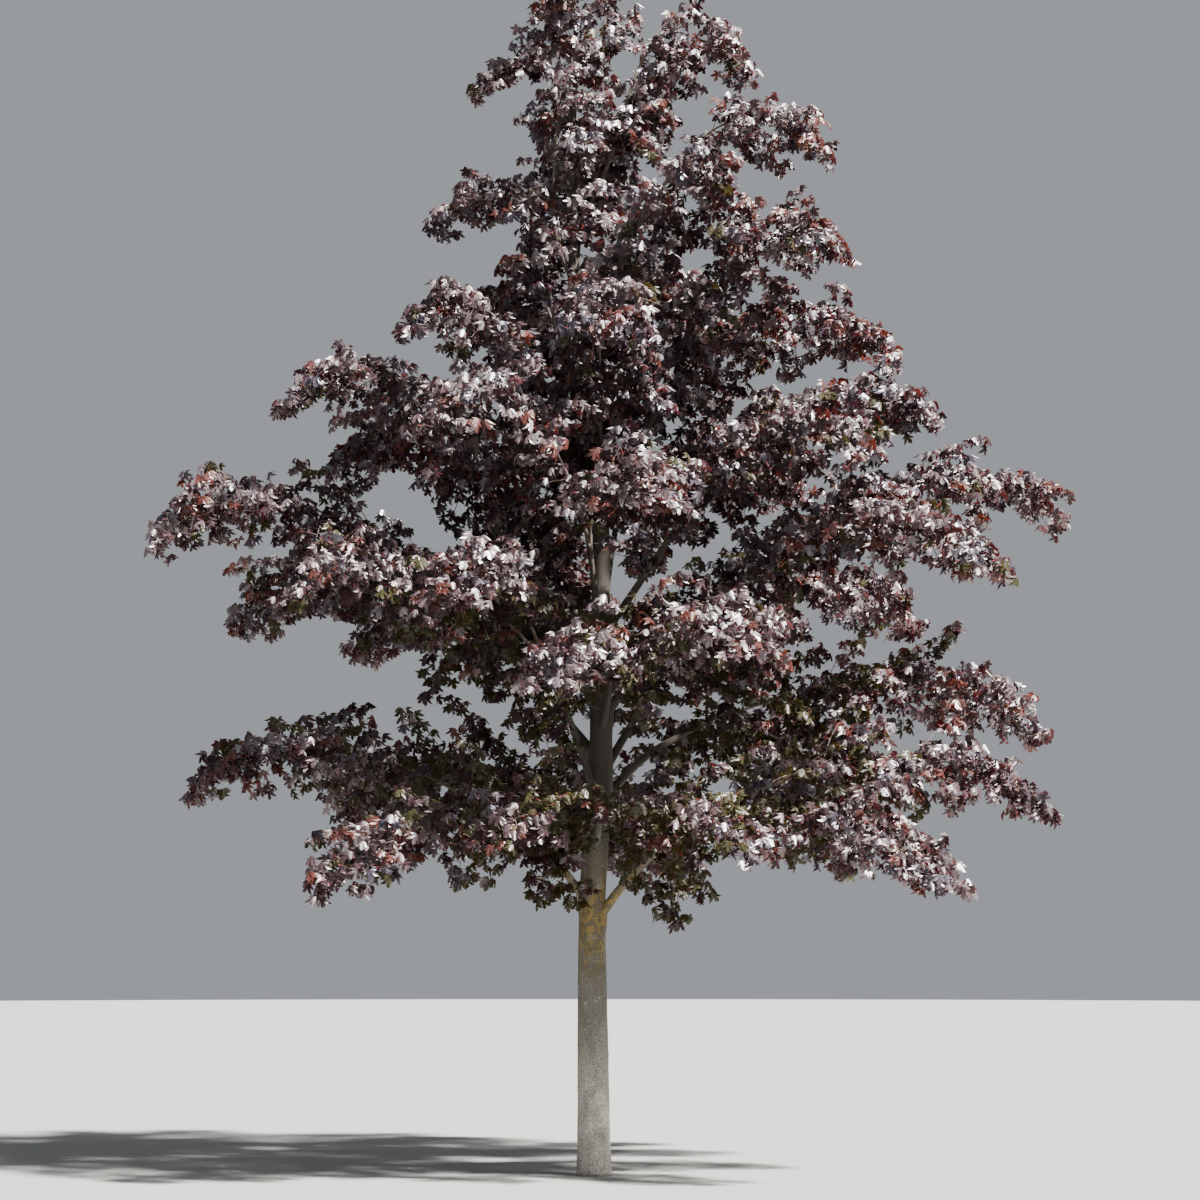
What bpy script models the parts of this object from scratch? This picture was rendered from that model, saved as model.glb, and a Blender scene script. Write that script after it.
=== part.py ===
"""A purple-leaved Norway maple, rooted in the ground: trunk, boughs and masses of foliage.

Metres, +Z up. The origin is the middle of the trunk's flat cut at ground level.
Headings are in degrees round the trunk: 0 is +X, 90 is +Y and 270 is the side that faces a viewer.
"""

import math
import random
from typing import NamedTuple

import bmesh
import bpy
import numpy as np
from mathutils import Matrix, Vector
from mathutils.bvhtree import BVHTree

# The trunk tapers as if to nothing at TAPER_TOP and is cut off thin at TRUNK_TOP, where the leader goes on
TRUNK_TOP = 7.60
TAPER_TOP = 8.80
TAPER_POWER = 0.95
TRUNK_RADIUS = 0.117
TRUNK_STEP = 0.38
TRUNK_ROUNDNESS = 6

# The root flare: how far it stands out at the ground, the height over which it fades, and its lobes
FLARE = 0.010
FLARE_HEIGHT = 0.08
FLARE_LOBES = 5
LOBE_DEPTH = 0.30
LOBE_TURN = 0.6
FLARE_RINGS = (0.0, 0.03, 0.08, 0.16, 0.30)

# The trunk's gentle sway: (height, x, y)
SWAY = (
    (0.00, 0.000, 0.000),
    (1.80, -0.014, 0.010),
    (2.80, 0.050, 0.015),
    (4.60, 0.050, -0.020),
    (6.10, -0.150, 0.020),
    (7.30, -0.150, 0.030),
    (8.80, -0.080, 0.000),
)

# Limbs: the pull of both ends on a limb's curve, how it comes down at its end, and where a bough hands over
PULL = 0.36
DROOP = -26.0
BOUGH_SHARE = 0.34
BOUGH_POINTS = 6
BOUGH_ROUNDNESS = 2
BOUGH_TIP_RADIUS = 0.019
CLEARANCE = 0.0003
NEEDLE = 0.0002

# A mass's stem, which begins beside its fork's other stem on a bough's tip
STEM_COLLAR = 0.02
STEM_POINTS = 4
STEM_LEAVING = 50.0
STEM_RADIUS = 0.018
STEM_SHARE_OF_TRUNK = 0.6
FORK_SHARE = 0.50
FORK_OFFSET = 0.56
STEM_TIP_RADIUS = 0.0045

# The nodes on a stem, and the twigs that fan out from them by turns to either side
NODE_STEP = 0.51
NODE_ENDS = (0.08, 0.88)
NODE_SCATTER = 0.03
TWIG_SPLAY = (70.0, 38.0)
SPLAY_SCATTER = 8.0
TWIG_SHARES = (0.70, 0.90)
FAN_AT_ENDS = 0.70
FAN_SWELL = 1.2
TWIG_RADIUS = 0.010
TWIG_TIP_RADIUS = 0.006
TWIG_DROOP = (-36.0, 30.0)
TWIG_SWING = 14.0
TWIG_LEAVES = (0.95, 0.62, 0.30)
TWIG_LEAF_TURNS = (0.0, 35.0, -35.0)
LEADER_TURN = 137.0
LEADER_NODES = 5

# Leaves, which each stand for a spray. The size is a mass's of FULL_WIDTH, and goes by a mass's own width
LEAF_LENGTH = 0.54
LEAF_WIDTH = 0.54
FULL_WIDTH = 0.65
LEAF_THICKNESS = 0.016
LEAF_WIDEST = 0.44
LEAF_SUNK = 0.003
END_LEAF_SUNK = 0.10
LEAF_SIZES = (0.92, 1.08)
LEAF_DROOP = (30.0, 68.0)
FACE_LEAN = (0.1, 0.5)
LEAF_SWING = (20.0, 3.0)

# How often a twig or leaf is tried again in its place, and its size against the last try's
TRIES = 24
TWIG_SHRINK = 0.92
LEAF_SHRINK = 0.965

# How far a stem's end stays from its mass's furthest tip, in leaf lengths: its end leaf reaches on to there
TIP_LIFT = 0.60
TIP_HOLD = 0.70
LEADER_HANG = 0.80

# The room that twigs and leaves keep from the limbs and from the edge of their mass's space
TWIG_ROOM = 0.025
LEAF_ROOM = 0.045
SPACE_ROOM = 0.010
LOWEST_LEAF = 1.66
SPACE_FLATNESS = 1.45
SITE_SHARES = (0.12, 0.50, 0.90)

# Colours, linear
BARK = (0.200, 0.185, 0.150)
YOUNG_BARK = (0.150, 0.125, 0.095)
FOLIAGE = (0.060, 0.018, 0.032)
BARK_ROUGHNESS = 0.90
FOLIAGE_ROUGHNESS = 0.55


class Bough(NamedTuple):
    """A main limb: where it leaves the trunk, how steeply, and how thick. It reaches for its masses."""

    name: str
    foot: float
    leaving: float
    radius: float


class Mass(NamedTuple):
    """A mass of foliage, by its furthest tip: heading, distance out and height.

    width is half its fan's, and foot is the height on the trunk of a mass that no bough carries.
    """

    name: str
    bearer: str
    heading: float
    reach: float
    tip: float
    width: float
    foot: float = 0.0


BOUGHS = (
    Bough("bough_low_left", 1.78, 64, 0.032),
    Bough("bough_low_front", 2.20, 44, 0.032),
    Bough("bough_low_right_front", 1.66, 62, 0.036),
    Bough("bough_low_right", 2.50, 58, 0.036),
    Bough("bough_low_back", 2.16, 46, 0.038),
    Bough("bough_mid_left", 2.84, 50, 0.036),
    Bough("bough_mid_front_left", 2.52, 68, 0.034),
    Bough("bough_mid_front", 3.02, 46, 0.028),
    Bough("bough_mid_right", 3.12, 58, 0.036),
    Bough("bough_mid_back_right", 2.74, 48, 0.034),
    Bough("bough_mid_back_left", 3.10, 46, 0.034),
    Bough("bough_high_left", 3.60, 56, 0.030),
    Bough("bough_high_front", 3.72, 54, 0.026),
    Bough("bough_high_right", 3.72, 50, 0.030),
    Bough("bough_high_back", 3.86, 54, 0.028),
    Bough("bough_top_right", 4.60, 56, 0.024),
)

MASSES = (
    Mass("mass_low_left", "bough_low_left", 186, 2.80, 2.50, 0.64),
    Mass("mass_low_left_front", "bough_low_left", 219, 2.24, 1.84, 0.60),
    Mass("mass_low_front_left", "bough_low_front", 246, 1.70, 2.12, 0.50),
    Mass("mass_low_front_right", "bough_low_front", 303, 1.88, 2.06, 0.54),
    Mass("mass_low_right_front", "bough_low_right_front", 326, 2.80, 1.86, 0.70),
    Mass("mass_low_right", "bough_low_right_front", 352, 3.10, 2.40, 0.70),
    Mass("mass_low_right_upper", "bough_low_right", 12, 3.24, 3.02, 0.72),
    Mass("mass_low_rear_right", "bough_low_right", 42, 3.00, 2.30, 0.72),
    Mass("mass_low_back", "bough_low_back", 82, 2.95, 2.00, 0.76),
    Mass("mass_low_back_left", "bough_low_back", 128, 2.90, 2.40, 0.78),
    Mass("mass_mid_left", "bough_mid_left", 184, 3.14, 4.26, 0.62),
    Mass("mass_mid_rear_left", "bough_mid_left", 155, 2.90, 3.84, 0.66),
    Mass("mass_mid_left_front", "bough_mid_front_left", 213, 2.40, 3.72, 0.60),
    Mass("mass_mid_front_left", "bough_mid_front_left", 243, 2.05, 3.72, 0.58),
    Mass("mass_mid_front", "bough_mid_front", 264, 1.95, 3.14, 0.52),
    Mass("mass_mid_front_right", "bough_mid_front", 299, 2.10, 3.34, 0.60),
    Mass("mass_mid_right_front", "bough_mid_right", 331, 3.05, 3.92, 0.62),
    Mass("mass_mid_right", "bough_mid_right", 0, 3.35, 4.42, 0.62),
    Mass("mass_mid_rear_right", "bough_mid_back_right", 36, 2.95, 3.85, 0.72),
    Mass("mass_mid_back_right", "bough_mid_back_right", 68, 2.85, 3.50, 0.72),
    Mass("mass_mid_back", "bough_mid_back_left", 98, 2.80, 4.00, 0.72),
    Mass("mass_mid_back_left", "bough_mid_back_left", 128, 2.80, 3.70, 0.72),
    Mass("mass_high_left", "bough_high_left", 188, 2.20, 5.20, 0.64),
    Mass("mass_high_rear_left", "bough_high_left", 150, 2.20, 4.95, 0.60),
    Mass("mass_high_front_left", "bough_high_front", 236, 1.80, 4.90, 0.58),
    Mass("mass_high_front", "bough_high_front", 284, 1.70, 4.35, 0.56),
    Mass("mass_high_right_front", "bough_high_right", 325, 2.30, 4.70, 0.60),
    Mass("mass_high_right", "bough_high_right", 356, 2.50, 5.06, 0.58),
    Mass("mass_high_back_right", "bough_high_back", 52, 2.35, 4.90, 0.66),
    Mass("mass_high_back", "bough_high_back", 100, 2.20, 5.20, 0.66),
    Mass("mass_top_right_front", "bough_top_right", 332, 1.92, 6.18, 0.62),
    Mass("mass_top_right", "bough_top_right", 8, 2.20, 5.68, 0.60),
    Mass("mass_top_left", "trunk", 182, 1.12, 6.62, 0.46, 5.45),
    Mass("mass_top_front_left", "trunk", 210, 1.56, 5.62, 0.58, 4.85),
    Mass("mass_top_front", "trunk", 272, 1.45, 5.56, 0.54, 4.70),
    Mass("mass_top_back_right", "trunk", 62, 1.65, 6.15, 0.58, 5.10),
    Mass("mass_top_back", "trunk", 120, 1.60, 6.05, 0.58, 5.00),
    Mass("mass_crest_right", "trunk", 347, 1.70, 7.02, 0.58, 5.93),
    Mass("mass_crest_right_upper", "trunk", 14, 1.16, 7.80, 0.56, 6.65),
    Mass("mass_crest_left", "trunk", 190, 0.86, 7.52, 0.50, 6.30),
    Mass("mass_crest_front", "trunk", 318, 1.40, 6.55, 0.50, 5.60),
    Mass("mass_crest_back", "trunk", 90, 1.15, 7.25, 0.50, 6.20),
    Mass("mass_leader", "trunk", 200, 0.15, 8.72, 0.70, TRUNK_TOP),
)
LEADER = "mass_leader"


# Curves and directions


def bearing(heading):
    """The level direction of a heading."""
    angle = math.radians(heading)
    return Vector((math.cos(angle), math.sin(angle), 0.0))


def climbing(level, degrees):
    """A level direction tilted up by so many degrees."""
    angle = math.radians(degrees)
    return level * math.cos(angle) + Vector((0.0, 0.0, math.sin(angle)))


def turned(direction, degrees):
    """A direction swung round the upright axis."""
    return Matrix.Rotation(math.radians(degrees), 3, "Z") @ direction


def level_of(direction):
    """The level part of a direction, at unit length."""
    return Vector((direction.x, direction.y, 0.0)).normalized()


def bezier(start, end, leave, arrive, share):
    """A point on the cubic from start to end that leaves along one pull and arrives along the other."""
    rest = 1.0 - share
    near = start + leave
    far = end - arrive
    inner = near * (3 * rest * rest * share) + far * (3 * rest * share * share)
    return start * rest**3 + inner + end * share**3


def trunk_axis(height):
    """The middle of the trunk at a height, on a smooth line through SWAY."""
    i = max(k for k in range(len(SWAY) - 1) if SWAY[k][0] <= height)
    (low, x0, y0), (high, x1, y1) = SWAY[i], SWAY[i + 1]
    share = min((height - low) / (high - low), 1.0)
    ease = share * share * (3 - 2 * share)
    return Vector((x0 + (x1 - x0) * ease, y0 + (y1 - y0) * ease, height))


def trunk_radius(height):
    """The trunk's radius by its taper, without the root flare."""
    return TRUNK_RADIUS * (1 - height / TAPER_TOP) ** TAPER_POWER


def flare(height, angle):
    """How far the root flare stands out at a height, by the direction round the trunk."""
    lobe = 1 + LOBE_DEPTH * math.cos(FLARE_LOBES * angle + LOBE_TURN)
    return FLARE * math.exp(-height / FLARE_HEIGHT) * lobe


# Lines of the limbs


def masses_of(bearer):
    return [mass for mass in MASSES if mass.bearer == bearer]


def far_tip(mass):
    """The furthest tip of a mass."""
    return bearing(mass.heading) * mass.reach + Vector((0.0, 0.0, mass.tip))


def stem_goal(mass):
    """Where a mass's stem ends, so that a hanging leaf reaches on from there to the furthest tip."""
    if mass.name == LEADER:
        return far_tip(mass) - Vector((0.0, 0.0, LEADER_HANG * LEAF_LENGTH))
    lift = Vector((0.0, 0.0, TIP_LIFT * LEAF_LENGTH))
    return far_tip(mass) + lift - bearing(mass.heading) * TIP_HOLD * LEAF_LENGTH


def bough_line(bough):
    """The points of a bough's middle, from inside the trunk to its tip, and its radii."""
    goals = [stem_goal(mass) for mass in masses_of(bough.name)]
    end = sum(goals, Vector()) / len(goals)
    start = trunk_axis(bough.foot)
    pull = PULL * (end - start).length
    level = level_of(end - start)
    leave = climbing(level, bough.leaving) * pull
    arrive = climbing(level, DROOP) * pull
    shares = [i / (BOUGH_POINTS - 1) for i in range(BOUGH_POINTS)]
    points = [bezier(start, end, leave, arrive, BOUGH_SHARE * share) for share in shares]
    radii = [bough.radius + (BOUGH_TIP_RADIUS - bough.radius) * share for share in shares]
    return points, radii


def stem_root(mass):
    """Where a mass's stem begins, its direction there, and its radius."""
    if mass.name == LEADER:
        along = (trunk_axis(TRUNK_TOP) - trunk_axis(TRUNK_TOP - TRUNK_STEP)).normalized()
        return trunk_axis(TRUNK_TOP) + along * CLEARANCE, along, trunk_radius(TRUNK_TOP)
    if mass.bearer == "trunk":
        along = climbing(level_of(stem_goal(mass) - trunk_axis(mass.foot)), STEM_LEAVING)
        radius = min(STEM_RADIUS, STEM_SHARE_OF_TRUNK * trunk_radius(mass.foot))
        return trunk_axis(mass.foot), along, radius
    points, radii = bough_line(next(bough for bough in BOUGHS if bough.name == mass.bearer))
    along = (points[-1] - points[-2]).normalized()
    across = along.cross(Vector((0.0, 0.0, 1.0))).normalized()
    side = math.copysign(1.0, across.dot(stem_goal(mass) - points[-1]))
    start = points[-1] + along * CLEARANCE + across * side * FORK_OFFSET * radii[-1]
    return start, along, FORK_SHARE * radii[-1]


def stem_line(mass):
    """The points of a mass's stem, from its bearer to its goal, and its radii."""
    first, along, radius = stem_root(mass)
    second = first + along * STEM_COLLAR
    goal = stem_goal(mass)
    pull = PULL * (goal - second).length
    arrive = Vector((0.0, 0.0, 1.0))
    if mass.name != LEADER:
        arrive = climbing(level_of(goal - second), DROOP)
    shares = [i / STEM_POINTS for i in range(STEM_POINTS + 1)]
    points = [first] + [bezier(second, goal, along * pull, arrive * pull, share) for share in shares]
    thinning = STEM_TIP_RADIUS - radius
    return points, [radius] + [radius + thinning * share for share in shares]


def line_point(points, share):
    """The point and the direction at a share of a line's length."""
    lengths = [(b - a).length for a, b in zip(points, points[1:])]
    left = share * sum(lengths)
    for a, b, length in zip(points, points[1:], lengths):
        if left <= length:
            break
        left -= length
    return a.lerp(b, min(left / length, 1.0)), (b - a).normalized()


# The space that each mass keeps to


class Spaces:
    """Shares the crown out between the masses, by cells with flat sides, and knows where the limbs are."""

    def __init__(self):
        stems = {mass.name: stem_line(mass) for mass in MASSES}
        self.flat = np.array((1.0, 1.0, SPACE_FLATNESS))
        sites = [
            (mass.name, *line_point(stems[mass.name][0], share)[0], (0.5 * mass.width) ** 2)
            for mass in MASSES
            for share in SITE_SHARES
        ]
        self.site_owners = np.array([site[0] for site in sites])
        self.sites = np.array([site[1:4] for site in sites]) * self.flat
        self.weights = np.array([site[4] for site in sites])
        heights = np.linspace(0.0, TRUNK_TOP, 30)
        lines = {"trunk": ([trunk_axis(z) for z in heights], [trunk_radius(z) + 0.01 for z in heights])}
        lines.update({bough.name: bough_line(bough) for bough in BOUGHS})
        lines.update(stems)
        self.owners = []
        starts, ends, radii = [], [], []
        for name, (points, sizes) in lines.items():
            self.owners += [name] * (len(points) - 1)
            starts += points[:-1]
            ends += points[1:]
            radii += sizes[:-1]
        self.owners = np.array(self.owners)
        self.starts = np.array(starts)
        self.runs = np.array(ends) - self.starts
        self.radii = np.array(radii)

    def inside(self, name, points):
        """True if every point is nearer a site of this mass than any other's, with room to spare."""
        own = self.site_owners == name
        scaled = np.array(points) * self.flat
        power = ((scaled[:, None] - self.sites) ** 2).sum(2) - self.weights
        nearest = power[:, own].argmin(1)
        home = self.sites[own][nearest]
        spare = power[:, ~own] - power[:, own].min(1)[:, None]
        apart = np.linalg.norm(home[:, None] - self.sites[~own], axis=2)
        return bool((spare / (2 * apart) > SPACE_ROOM * SPACE_FLATNESS).all())

    def off_limbs(self, name, points, room):
        """True if every point keeps its room from the trunk, the boughs and the other masses' stems."""
        others = self.owners != name
        gaps = np.array(points)[:, None] - self.starts[others]
        runs = self.runs[others]
        shares = ((gaps * runs).sum(2) / (runs * runs).sum(1)).clip(0, 1)
        away = np.linalg.norm(gaps - shares[..., None] * runs, axis=2)
        return bool((away - self.radii[others] > room).all())


# Meshes


def add_object(name, mesh, collection, material=None):
    thing = bpy.data.objects.new(name, mesh)
    collection.objects.link(thing)
    if material:
        mesh.materials.clear()
        mesh.materials.append(material)
    return thing


def evaluated_mesh(thing):
    """What an object's curve or modifiers come to, as a mesh of its own."""
    depsgraph = bpy.context.evaluated_depsgraph_get()
    return bpy.data.meshes.new_from_object(thing.evaluated_get(depsgraph))


def mesh_from(name, shape):
    mesh = bpy.data.meshes.new(name)
    shape.to_mesh(mesh)
    shape.free()
    return mesh


def tube_mesh(name, points, radii, roundness):
    """A tapering limb as a mesh: a curve with a bevel and filled caps, the caps welded on."""
    curve = bpy.data.curves.new(name, "CURVE")
    curve.dimensions = "3D"
    curve.bevel_depth = 1.0
    curve.bevel_resolution = roundness
    curve.use_fill_caps = True
    spline = curve.splines.new("POLY")
    spline.points.add(len(points) - 1)
    for knot, point, radius in zip(spline.points, points, radii):
        knot.co = (*point, 1.0)
        knot.radius = radius
    guide = add_object(name, curve, bpy.context.scene.collection)
    mesh = evaluated_mesh(guide)
    bpy.data.objects.remove(guide)
    shape = bmesh.new()
    shape.from_mesh(mesh)
    bmesh.ops.remove_doubles(shape, verts=shape.verts, dist=1e-5)
    shape.to_mesh(mesh)
    shape.free()
    return mesh


# The rule by which a mass grows


class Leaf(NamedTuple):
    """A leaf by its root, the way it points, the way its face looks, and its size against the usual."""

    root: Vector
    along: Vector
    face: Vector
    size: float


def leaf_frame(leaf):
    """The leaf's own axes at its root: x across it, y to its tip and z out of its face."""
    along = leaf.along.normalized()
    across = along.cross(leaf.face).normalized()
    turn = Matrix((across, along, across.cross(along))).transposed().to_4x4()
    return Matrix.Translation(leaf.root) @ turn


def leaf_points(leaf):
    """Points round a leaf's edge and over its blade, to test its space by."""
    length = LEAF_LENGTH * leaf.size
    wing = 0.5 * LEAF_WIDTH * leaf.size
    widest = LEAF_WIDEST * length
    corners = [(0.0, 0.0), (wing, widest), (0.0, length), (-wing, widest)]
    middle = Vector((0.0, widest, 0.0))
    frame = leaf_frame(leaf)
    points = []
    for i in range(4):
        edge_from = Vector((*corners[i], 0.0))
        edge_to = Vector((*corners[(i + 1) % 4], 0.0))
        for share in (0.0, 0.25, 0.5, 0.75):
            edge = edge_from.lerp(edge_to, share)
            points += [frame @ edge, frame @ edge.lerp(middle, 0.5)]
    return points


def leaf_facing(root, level, droop, size, rng):
    """A leaf that points along a level direction, tilted down by so many degrees, with its face up."""
    face = climbing(level, 90 - droop) + bearing(rng.uniform(0, 360)) * rng.uniform(*FACE_LEAN)
    return Leaf(root, climbing(level, -droop), face, size)


def twig_shape(root, tip):
    """A three-sided twig that tapers from its root to its tip."""
    run = tip - root
    place = Matrix.Translation((root + tip) / 2) @ run.to_track_quat("Z", "Y").to_matrix().to_4x4()
    shape = bmesh.new()
    bmesh.ops.create_cone(
        shape,
        cap_ends=True,
        segments=3,
        radius1=TWIG_RADIUS,
        radius2=TWIG_TIP_RADIUS,
        depth=run.length,
        matrix=place,
    )
    return shape


def leaf_shape(leaf):
    """A leaf of eight faces: a flat octahedron drawn out to a kite from its root to its tip."""
    shape = bmesh.new()
    bmesh.ops.create_uvsphere(shape, u_segments=4, v_segments=2, radius=1.0)
    length = LEAF_LENGTH * leaf.size
    for corner in shape.verts:
        x, y, z = corner.co
        reach = LEAF_WIDEST + y * (1 - LEAF_WIDEST if y > 0 else LEAF_WIDEST)
        corner.co = (x * 0.5 * LEAF_WIDTH * leaf.size, reach * length, z * 0.5 * LEAF_THICKNESS)
    shape.transform(leaf_frame(leaf))
    return shape


class Growth:
    """One mass as it grows: its stem, twigs and leaves, each of which keeps to the room that is left."""

    def __init__(self, mass, spaces):
        self.mass = mass
        self.spaces = spaces
        self.leaf_size = mass.width / FULL_WIDTH
        self.rng = random.Random(mass.name)
        self.stem, radii = stem_line(mass)
        self.body = tube_mesh(mass.name, self.stem, radii, 0)
        shape = bmesh.new()
        shape.from_mesh(self.body)
        self.trees = [BVHTree.FromBMesh(shape)]
        self.shapes = []

    def has_room(self, points, room):
        """True if points are in the mass's space and off the limbs."""
        name = self.mass.name
        if min(point.z for point in points) < LOWEST_LEAF or not self.spaces.inside(name, points):
            return False
        return self.spaces.off_limbs(name, points, room)

    def crosses(self, shape, bearer):
        """True if a shape runs through anything of this mass but its bearer."""
        tree = BVHTree.FromBMesh(shape)
        return any(tree.overlap(other) for k, other in enumerate(self.trees) if k != bearer)

    def add(self, shape):
        self.trees.append(BVHTree.FromBMesh(shape))
        self.shapes.append(shape)

    def add_twig(self, root, level, length):
        """A twig with its leaves, shorter with each try until it finds room. False if it finds none."""
        rng = self.rng
        for _ in range(TRIES):
            along = climbing(level, -rng.uniform(*TWIG_DROOP))
            tip = root + along * length
            samples = [root.lerp(tip, k / 12) for k in range(2, 13)]
            twig = twig_shape(root, tip)
            if self.has_room(samples, TWIG_ROOM) and not self.crosses(twig, 0):
                self.add(twig)
                bearer = len(self.trees) - 1
                for share, turn in zip(TWIG_LEAVES, TWIG_LEAF_TURNS):
                    self.add_leaf(root.lerp(tip, share), turned(level, turn), bearer)
                return True
            length *= TWIG_SHRINK
            level = turned(level, rng.uniform(-TWIG_SWING, TWIG_SWING))
        return False

    def add_leaf(self, root, level, bearer):
        """A leaf that hangs from a root on its bearer, smaller with each try until it finds room."""
        rng = self.rng
        size = self.leaf_size * rng.uniform(*LEAF_SIZES)
        for attempt in range(TRIES):
            swing = LEAF_SWING[0] + LEAF_SWING[1] * attempt
            out = turned(level, rng.uniform(-swing, swing))
            leaf = leaf_facing(root, out, rng.uniform(*LEAF_DROOP), size, rng)
            leaf = leaf._replace(root=root - leaf.along * LEAF_SUNK)
            if self.has_room(leaf_points(leaf), LEAF_ROOM):
                blade = leaf_shape(leaf)
                if not self.crosses(blade, bearer):
                    self.add(blade)
                    return
            size *= LEAF_SHRINK

    def add_end_leaf(self):
        """The leaf on the end of the stem, which reaches on to the mass's furthest tip."""
        end = self.stem[-1]
        reach = far_tip(self.mass) - end
        along = reach.normalized()
        across = bearing(self.mass.heading).cross(Vector((0.0, 0.0, 1.0)))
        size = reach.length / ((1 - END_LEAF_SUNK) * LEAF_LENGTH)
        root = end - along * END_LEAF_SUNK * LEAF_LENGTH * size
        self.add(leaf_shape(Leaf(root, along, across.cross(along), size)))


def grow_mass(mass, spaces):
    """A mass's stem as a mesh, with its twigs and leaves as shapes, by a rule with a seed of its own.

    The stem has nodes at even steps. Each has a twig on one side and a leaf on the other, turn about.
    """
    growth = Growth(mass, spaces)
    rng = growth.rng
    growth.add_end_leaf()
    length = sum((b - a).length for a, b in zip(growth.stem, growth.stem[1:]))
    nodes = max(round(length / (NODE_STEP * growth.leaf_size)), 2)
    if mass.name == LEADER:
        nodes = LEADER_NODES
    side = rng.choice((-1, 1))
    for node in range(nodes):
        along_stem = node / (nodes - 1)
        place = NODE_ENDS[0] + (NODE_ENDS[1] - NODE_ENDS[0]) * along_stem
        root, along = line_point(growth.stem, place + rng.uniform(-NODE_SCATTER, NODE_SCATTER))
        splay = TWIG_SPLAY[0] + (TWIG_SPLAY[1] - TWIG_SPLAY[0]) * along_stem
        splay += rng.uniform(-SPLAY_SCATTER, SPLAY_SCATTER)
        level = level_of(along)
        if mass.name == LEADER:
            level = bearing(mass.heading + LEADER_TURN * node)
        out = turned(level, side * splay)
        fan = FAN_AT_ENDS + FAN_SWELL * place * (1 - place)
        if not growth.add_twig(root, out, mass.width * fan * rng.uniform(*TWIG_SHARES)):
            growth.add_leaf(root, out, 0)
        growth.add_leaf(root, turned(level, -side * splay), 0)
        side = -side
    return growth.body, growth.shapes


# Building in Blender


def new_collection(name):
    collection = bpy.data.collections.new(name)
    bpy.context.scene.collection.children.link(collection)
    return collection


def new_material(name, colour, roughness):
    material = bpy.data.materials.new(name)
    material.use_nodes = True
    shader = material.node_tree.nodes["Principled BSDF"]
    shader.inputs["Base Color"].default_value = (*colour, 1.0)
    shader.inputs["Roughness"].default_value = roughness
    shader.inputs["Metallic"].default_value = 0.0
    return material


def trunk_mesh(name, swell):
    """The trunk with its root flare, made thicker by swell all round."""
    steps = math.ceil((TRUNK_TOP - FLARE_RINGS[-1]) / TRUNK_STEP)
    run = (TRUNK_TOP - FLARE_RINGS[-1]) / steps
    heights = [*FLARE_RINGS, *(FLARE_RINGS[-1] + run * i for i in range(1, steps + 1))]
    radii = [trunk_radius(height) + swell for height in heights]
    mesh = tube_mesh(name, [trunk_axis(height) for height in heights], radii, TRUNK_ROUNDNESS)
    for corner in mesh.vertices:
        middle = trunk_axis(max(corner.co.z, 0.0))
        out = Vector((corner.co.x - middle.x, corner.co.y - middle.y, 0.0))
        angle = math.atan2(out.y, out.x)
        corner.co += out.normalized() * flare(corner.co.z, angle)
        if corner.co.z < FLARE_RINGS[1] / 2:
            corner.co.z = 0.0
    return mesh


def face_groups(shape):
    """The faces of a mesh in groups that hang together by their edges, the largest group last."""
    left = set(shape.faces)
    groups = []
    while left:
        group = []
        waiting = [left.pop()]
        while waiting:
            face = waiting.pop()
            group.append(face)
            beside = {other for edge in face.edges for other in edge.link_faces if other in left}
            left -= beside
            waiting += beside
        groups.append(group)
    return sorted(groups, key=len)


def keep_one_body(mesh):
    """Drop a mesh's loose scraps and sealed hollows, all smaller than its one body, and its needle faces."""
    shape = bmesh.new()
    shape.from_mesh(mesh)
    scraps = [face for group in face_groups(shape)[:-1] for face in group]
    bmesh.ops.delete(shape, geom=scraps, context="FACES")
    cleaned = shape.copy()
    bmesh.ops.dissolve_degenerate(cleaned, edges=cleaned.edges, dist=NEEDLE)
    still_closed = all(edge.is_manifold for edge in cleaned.edges) and len(face_groups(cleaned)) == 1
    (cleaned if still_closed else shape).to_mesh(mesh)
    cleaned.free()
    shape.free()


def fuse(body, meshes):
    """Join meshes to an object by one union on a collection, apply it, and clear the collection away."""
    pieces = new_collection(body.name + "_pieces")
    for mesh in meshes:
        add_object("piece", mesh, pieces)
    union = body.modifiers.new("union", "BOOLEAN")
    union.operation = "UNION"
    union.operand_type = "COLLECTION"
    union.collection = pieces
    union.solver = "MANIFOLD"
    joined = evaluated_mesh(body)
    body.modifiers.clear()
    body.data = joined
    for piece in list(pieces.objects):
        bpy.data.objects.remove(piece)
    bpy.data.collections.remove(pieces)
    keep_one_body(joined)


def cut_clear(thing, cutter):
    """Keep a limb a hair clear of the trunk that it grows from."""
    cut = thing.modifiers.new("clear_of_trunk", "BOOLEAN")
    cut.operation = "DIFFERENCE"
    cut.object = cutter
    cut.solver = "EXACT"


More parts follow.
